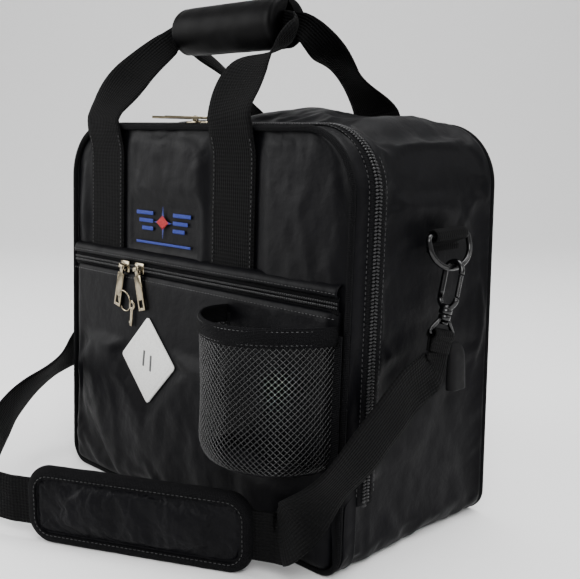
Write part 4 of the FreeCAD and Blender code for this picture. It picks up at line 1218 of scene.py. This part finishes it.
def build_strap_ends():
    """The strap's sewn loops round the swivel eyes, and the tabs that hold the D-rings."""
    for side, sign in (("right", 1), ("left", -1)):
        bar = Vector((sign * TAIL_END.x, TAIL_END.y, TAIL_END.z)) - HANG_DOWN * 14
        loop = []
        for k in range(13):
            a = math.radians(-60 + 300 * k / 12)
            loop.append(bar + ALONG_X * (EYE_WRAP * math.cos(a)) - HANG_DOWN * (EYE_WRAP * math.sin(a)))
        tail_out = bar + HANG_DOWN * 13 + ALONG_X * 1.3
        tail_in = bar + HANG_DOWN * 13 - ALONG_X * 1.3
        points = [tail_out, bar + HANG_DOWN * 8 + ALONG_X * 1.5] + loop
        points += [bar + HANG_DOWN * 8 - ALONG_X * 1.5, tail_in]
        stations = in_mm([(tuple(p), tuple(HANG_ACROSS), 24) for p in points])
        piece = ribbon("strap_end_loop_" + side, stations, 1.7 * MM, step=2 * MM, ripple=0.1 * MM)
        finish_piece(piece, WEBBING, "ring_" + side, "webbing", "strap_end_" + side)
        ring_bar = Vector((sign * (175 + RING_OUT), RING_Y, RING_Z))
        flat = sign * 176.3
        points = [Vector((flat, RING_Y, 228)), Vector((flat, RING_Y, 234))] + [
            ring_bar + Vector((sign * RING_WRAP * math.cos(a), 0, RING_WRAP * math.sin(a)))
            for a in (math.radians(195 - 25 * k) for k in range(11))] + [
            Vector((flat + sign * 1.4, RING_Y, 234)), Vector((flat + sign * 1.4, RING_Y, 228))]
        stations = in_mm([(tuple(p), (0, 1, 0), 37) for p in points])
        piece = ribbon("ring_tab_loop_" + side, stations, 1.7 * MM, step=2 * MM, ripple=0.1 * MM)
        finish_piece(piece, WEBBING, "root", "webbing", "ring_tab_" + side)


# ---------------------------------------------------------------- shoulder pad
PAD_PLACE = Matrix.Translation(PAD_MIDDLE * MM) @ Matrix.Rotation(PAD_TURN, 4, "Z")


def pad_ring(inset, out, count=150):
    """One closed row of the pad, drawn in from its outline and out from its middle plane."""
    half_x, half_z = PAD_LENGTH / 2 - inset, PAD_HEIGHT / 2 - inset
    corner = min(max(PAD_CORNER - inset, 0.0), half_z)
    straight_x, straight_z = 2 * (half_x - corner), 2 * (half_z - corner)
    ring = []
    spans = ((half_x, -half_z + corner, 0, 1, straight_z, 0),
             (half_x - corner, half_z, -1, 0, straight_x, 90),
             (-half_x, half_z - corner, 0, -1, straight_z, 180),
             (-half_x + corner, -half_z, 1, 0, straight_x, 270))
    upright, bend, level = (PAD_HEIGHT - 2 * PAD_CORNER, math.pi / 2 * PAD_CORNER,
                            PAD_LENGTH - 2 * PAD_CORNER)
    around = 2 * upright + 2 * level + 4 * bend
    for x, z, dx, dz, length, start in spans:
        steps = max(2, round(count * (upright if dz else level) / around))
        bends = max(3, round(count * bend / around))
        for k in range(steps):
            ring.append((x + dx * length * k / steps, z + dz * length * k / steps))
        cx = (half_x - corner) * (1 if start in (0, 270) else -1)
        cz = (half_z - corner) * (1 if start in (0, 90) else -1)
        for k in range(bends):
            a = math.radians(start + 90 * k / bends)
            ring.append((cx + corner * math.cos(a), cz + corner * math.sin(a)))
    return [PAD_PLACE @ Vector((x * MM, -out * MM, z * MM)) for x, z in ring], [
        (x * MM, z * MM) for x, z in ring]


def build_pad():
    """Shoulder pad: two crinkled faces quilted over foam, with a bound edge and a seam inside it."""
    # how far in from the outline, and how far out from the middle plane, in millimetres
    heights = ((3.0, 3.2), (6.0, 4.0), (8.6, 3.6), (9.6, 3.1), (11, 4.4), (13.5, 5.8), (17, 6.7),
               (21, 7.1), (25, 7.3), (28.5, 7.4), (30.8, 7.4))
    profile = [(d, h) for d, h in heights[::-1]] + [(1.6, 2.0), (1.6, -2.0)] + [
        (d, -h) for d, h in heights]
    rows = [pad_ring(d, h) for d, h in profile]
    pillow = grid_piece("shoulder_pad_cloth", [r for r, _ in rows], [u for _, u in rows],
                        round_columns=True)
    weld(pillow, 0.2 * MM)
    count = len(rows[0][0])
    smooth_once(pillow)
    co = coordinates(pillow)
    local = np.array([(PAD_PLACE.inverted() @ Vector(p))[:] for p in co]) / MM
    rim = [min(PAD_HEIGHT / 2 - abs(p[2]), PAD_LENGTH / 2 - abs(p[0])) for p in local]
    pins = [k for k, d in enumerate(rim) if d < 10.4]
    settle(pillow, pins, grow=0.05, pressure=2.0, limit=3.0 * MM)
    free = [min(max((d - 9.5) / 5, 0), 1) for d in rim]
    crush(pillow, 1.0 * MM, 15 * MM, 41, stretch=(1.0, 1.0, 0.5), free=free)
    smooth_once(pillow)
    finish_piece(pillow, PAD_NYLON, "shoulder_pad", "padded_nylon", "shoulder_pad")
    wrap = [(8.4, 4.7), (6.5, 5.0), (3.5, 4.7), (1.4, 3.9), (0.2, 2.2), (0.0, 0.0), (0.2, -2.2),
            (1.4, -3.9), (3.5, -4.7), (6.5, -5.0), (8.4, -4.7)]
    rows = [pad_ring(d, h) for d, h in wrap]
    uvs = [[(k * 3.1 * MM, i * 2.4 * MM) for k in range(count)] for i in range(len(rows))]
    edge = grid_piece("shoulder_pad_binding", [r for r, _ in rows], uvs, round_columns=True)
    crush(edge, 0.35 * MM, 9 * MM, 44)
    thicken(edge, 0.9 * MM, 0.0)
    smooth_once(edge)
    finish_piece(edge, BINDING, "shoulder_pad", "piping")
    paths = []
    turn = PAD_PLACE.to_3x3()
    for sign in (1, -1):
        ring, _ = pad_ring(7.0, sign * 5.5)
        paths.append([(p, turn @ (-ALONG_Y * sign)) for p in ring + ring[:1]])
    seam = bars_along("shoulder_pad_stitches", paths, BLACK_THREAD, STITCH_PITCH, STITCH)
    finish_piece(seam, BLACK_THREAD, "shoulder_pad", "piping")


# ---------------------------------------------------------------- metal and moulded pieces
def rounded_copy(name, material, slot, body, width):
    """A copy of a frame piece with its edges broken as a mould or a tumbling barrel leaves them."""
    piece = bpy.data.objects.new(name + "_finished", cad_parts[name].data.copy())
    bpy.context.scene.collection.objects.link(piece)
    weld(piece, 0.004 * MM)
    work = bmesh.new()
    work.from_mesh(piece.data)
    bmesh.ops.dissolve_limit(work, angle_limit=math.radians(2), verts=work.verts, edges=work.edges)
    work.to_mesh(piece.data)
    work.free()
    edge = piece.modifiers.new("edge", "BEVEL")
    edge.width, edge.segments, edge.limit_method = width, 2, "ANGLE"
    edge.angle_limit = math.radians(32)
    edge.use_clamp_overlap = True
    even = piece.modifiers.new("even", "WEIGHTED_NORMAL")
    even.keep_sharp = True
    bake(piece)
    finish_piece(piece, material, body, slot, name)


def lathe(name, profile, place, sides=20):
    """A turned piece: (radius, height) in millimetres round the place's own Z."""
    rings = [[place @ Vector((max(r, 0.01) * MM * math.cos(a), max(r, 0.01) * MM * math.sin(a), z * MM))
              for a in (2 * math.pi * k / sides for k in range(sides))] for r, z in profile]
    uvs = [[(k * MM, z * MM) for k in range(sides)] for r, z in profile]
    return close_ends(grid_piece(name, rings, uvs, round_columns=True))


def joined(name, *pieces):
    """One mesh from several."""
    work = bmesh.new()
    for piece in pieces:
        work.from_mesh(piece.data)
        mesh = piece.data
        bpy.data.objects.remove(piece)
        bpy.data.meshes.remove(mesh)
    mesh = bpy.data.meshes.new(name)
    work.to_mesh(mesh)
    work.free()
    piece = bpy.data.objects.new(name, mesh)
    bpy.context.scene.collection.objects.link(piece)
    return piece


# the hook's own frame hangs from the ring's bar, in millimetres: its wire, half its width, and
# where its straight sides start and stop
HOOK_WIRE, HOOK_REACH, HOOK_HIGH, HOOK_LOW = 2.2, 7.2, -2.4, -22.4


def hook_place(sign):
    """The hook's own frame, leaned as it hangs; the left hook's gate faces the back."""
    turn = Matrix.Rotation(-HOOK_TILT, 4, "X")
    place = Matrix.Translation(Vector((sign * EYE_BAR.x, EYE_BAR.y, EYE_BAR.z)) * MM) @ turn
    return place if sign > 0 else place @ Matrix.Rotation(math.pi, 4, "Z")


def build_hook_body(side, place):
    """Round wire bow of the snap hook, open where the gate sits, on its turned collar."""
    reach, high, low = HOOK_REACH, HOOK_HIGH, HOOK_LOW
    bow = [(reach, high - 1.4), (reach, high)]
    bow += [(reach * math.cos(a), high + reach * math.sin(a))
            for a in (math.radians(15 * k) for k in range(1, 12))]
    bow += [(-reach, high - 5 * k) for k in range(5)]
    bow += [(-reach * math.cos(a), low - reach * math.sin(a))
            for a in (math.radians(15 * k) for k in range(12))]
    bow += [(reach, low + 0.4)]
    path = [place @ Vector((x * MM, 0, z * MM)) for x, z in bow]
    loop = tube("bow", path, HOOK_WIRE * MM, 14)
    turned = lathe("collar", ((0, -27.4), (3.6, -27.6), (4.6, -28.6), (5.0, -30.2), (4.5, -30.9),
                              (5.0, -31.6), (5.0, -34.0), (4.3, -34.6), (2.0, -34.65), (2.0, -40.5),
                              (3.1, -40.6), (3.4, -41.2), (3.1, -42.2), (0, -42.4)), place)
    hook = joined("snap_hook_body_" + side, loop, turned)
    finish_piece(hook, ACETAL, "hook_" + side, "black_hardware", "snap_hook_" + side)


def build_hook_gate(side, place):
    """Ribbed sleeve of the sprung gate, clear of the bow at both ends."""
    ribs = [(0, -21.3), (1.1, -21.3)]
    ribs += [(1.6 + 0.36 * abs(math.sin(math.pi * k / 4)), -20.8 + 0.41 * k) for k in range(40)]
    ribs += [(1.2, -4.5), (0, -4.5)]
    sleeve = lathe("hook_gate_sleeve_" + side, ribs,
                   place @ Matrix.Translation((HOOK_REACH * MM, 0, 0)), 16)
    finish_piece(sleeve, ACETAL, "gate_" + side, "black_hardware", "hook_gate_" + side)


def build_swivel_eye(side, place):
    """Triangular wire eye that holds the strap, under the boss that the hook turns in."""
    eye = [(-4.2, -37.6), (-9.6, -43), (-14.0, -47.4), (-14.7, -49.0), (-13.6, -50.2), (-8, -50.2),
           (0, -50.2), (8, -50.2), (13.6, -50.2), (14.7, -49.0), (14.0, -47.4), (9.6, -43), (4.2, -37.6)]
    path = [place @ Vector((0, y * MM, z * MM)) for y, z in eye]
    frame_wire = smooth_once(tube("eye", path, 1.75 * MM, 10))
    boss = lathe("boss", ((2.06, -34.95), (3.9, -34.95), (4.6, -35.6), (4.6, -38.6), (3.9, -39.3),
                          (2.06, -39.3), (2.06, -34.95)), place)
    ring = joined("swivel_eye_body_" + side, frame_wire, boss)
    finish_piece(ring, ACETAL, "ring_" + side, "black_hardware", "swivel_eye_" + side)


def build_cable_hood():
    """Moulded hood over the cable port, open at its foot, in millimetres until its points are set."""
    low, high, middle, half, out = 117.2, 154.8, 41, 10.8, 6.6
    rows, columns = 16, 20
    grid, uvs = [], []
    for i in range(rows + 1):
        s = i / rows
        wide = half * (1 - 0.16 * s * s) * math.sqrt(1 - 0.86 * max(s - 0.8, 0) / 0.2)
        deep = out * (1 - 0.25 * s) * math.sqrt(max(1 - s ** 6, 0.02))
        row, marks = [], []
        for j in range(columns + 1):
            t = 2 * j / columns - 1
            x = 175.2 + deep * (1 - abs(t) ** 5) ** 0.6
            row.append(Vector((x, middle + wide * t, low + (high - low) * s)) * MM)
            marks.append((t * wide * MM, s * (high - low) * MM))
        grid.append(row)
        uvs.append(marks)
    hood = grid_piece("cable_hood_shell", grid, uvs)
    thicken(hood, 1.2 * MM, -1.0)
    smooth_once(hood)
    finish_piece(hood, RUBBER, "root", "black_hardware", "cable_port_hood")


def finish_hardware():
    """Rings, hooks, zip pulls and the small moulded pieces."""
    bodies = {"key_ring": "pull_pocket_left", "small_key": "pull_pocket_left", "strap_slider": "root",
              "d_ring_left": "ring_left", "d_ring_right": "ring_right"}
    for place in ("main_left", "main_right", "pocket_left", "pocket_right"):
        for word in ("slider_", "pull_"):
            bodies[word + place] = word + place
    for name, body in bodies.items():
        black = name == "strap_slider" or name.startswith("d_ring")
        material, slot = (ACETAL, "black_hardware") if black else (PLATE, "zip_metal")
        rounded_copy(name, material, slot, body, (0.8 if name == "strap_slider" else 0.35) * MM)
    for side, sign in (("left", -1), ("right", 1)):
        place = hook_place(sign)
        build_hook_body(side, place)
        build_hook_gate(side, place)
        build_swivel_eye(side, place)
    build_cable_hood()


build_shell()
build_back()
build_front()
build_lid_band()
build_piping()
build_front_pocket()
build_pocket_zip()
build_main_zip()
build_bottle_net()
build_bottle_foot()
build_bottle_rim()
build_tag()
build_badge()
build_handles()
build_grip()
build_strap()
build_strap_ends()
build_pad()
finish_hardware()


# ---------------------------------------------------------------- studio
def build_studio():
    """Plain pale floor that turns up into a backdrop, soft lights and the camera."""
    reach, flat, sweep = 4.0, 1.6, 1.2
    profile = [(-reach, 0.0), (flat, 0.0)]
    profile += [(flat + sweep * math.sin(a), sweep - sweep * math.cos(a))
                for a in (math.radians(9 * k) for k in range(1, 11))]
    profile += [(flat + sweep, reach)]
    turn = Matrix.Rotation(math.radians(45.8), 4, "Z")
    grid = [[turn @ Vector((x, y, z)) for x in (-reach, reach)] for y, z in profile]
    floor = grid_piece("floor", grid, [[(0, 0), (1, 1)] for _ in profile])
    for polygon in floor.data.polygons:
        polygon.flip()
    material, *_ = new_material("pale_paper", "#f4f4f4", roughness=0.85)
    floor.data.materials.append(material)
    bpy.context.scene.world = bpy.data.worlds.new("studio")
    bpy.context.scene.world.use_nodes = True
    sky = bpy.context.scene.world.node_tree.nodes["Background"]
    sky.inputs["Color"].default_value = (1, 1, 1, 1)
    sky.inputs["Strength"].default_value = 0.55
    aim = Vector((0, 0, 0.17))
    for name, place, wide, power in (("key", (1.3, -1.1, 1.5), 1.1, 38),
                                     ("fill", (-1.5, -1.2, 0.9), 1.2, 34),
                                     ("top", (0.2, 0.3, 2.0), 1.4, 40),
                                     ("rim", (1.6, 1.1, 1.2), 0.8, 9)):
        lamp = bpy.data.lights.new(name, "AREA")
        lamp.energy, lamp.size = power, wide
        holder = bpy.data.objects.new(name, lamp)
        holder.location = place
        holder.rotation_euler = (aim - Vector(place)).to_track_quat("-Z", "Y").to_euler()
        bpy.context.scene.collection.objects.link(holder)
    lens = bpy.data.cameras.new("camera")
    lens.lens, lens.sensor_width = 57.7, 36.0
    eye = bpy.data.objects.new("camera", lens)
    eye.location = (0.5877, -0.5373, 0.322)
    yaw, pitch = math.radians(45.81), math.radians(10.26)
    ahead = Vector((-math.sin(yaw) * math.cos(pitch), math.cos(yaw) * math.cos(pitch), -math.sin(pitch)))
    eye.rotation_euler = ahead.to_track_quat("-Z", "Y").to_euler()
    bpy.context.scene.collection.objects.link(eye)
    bpy.context.scene.camera = eye


build_studio()
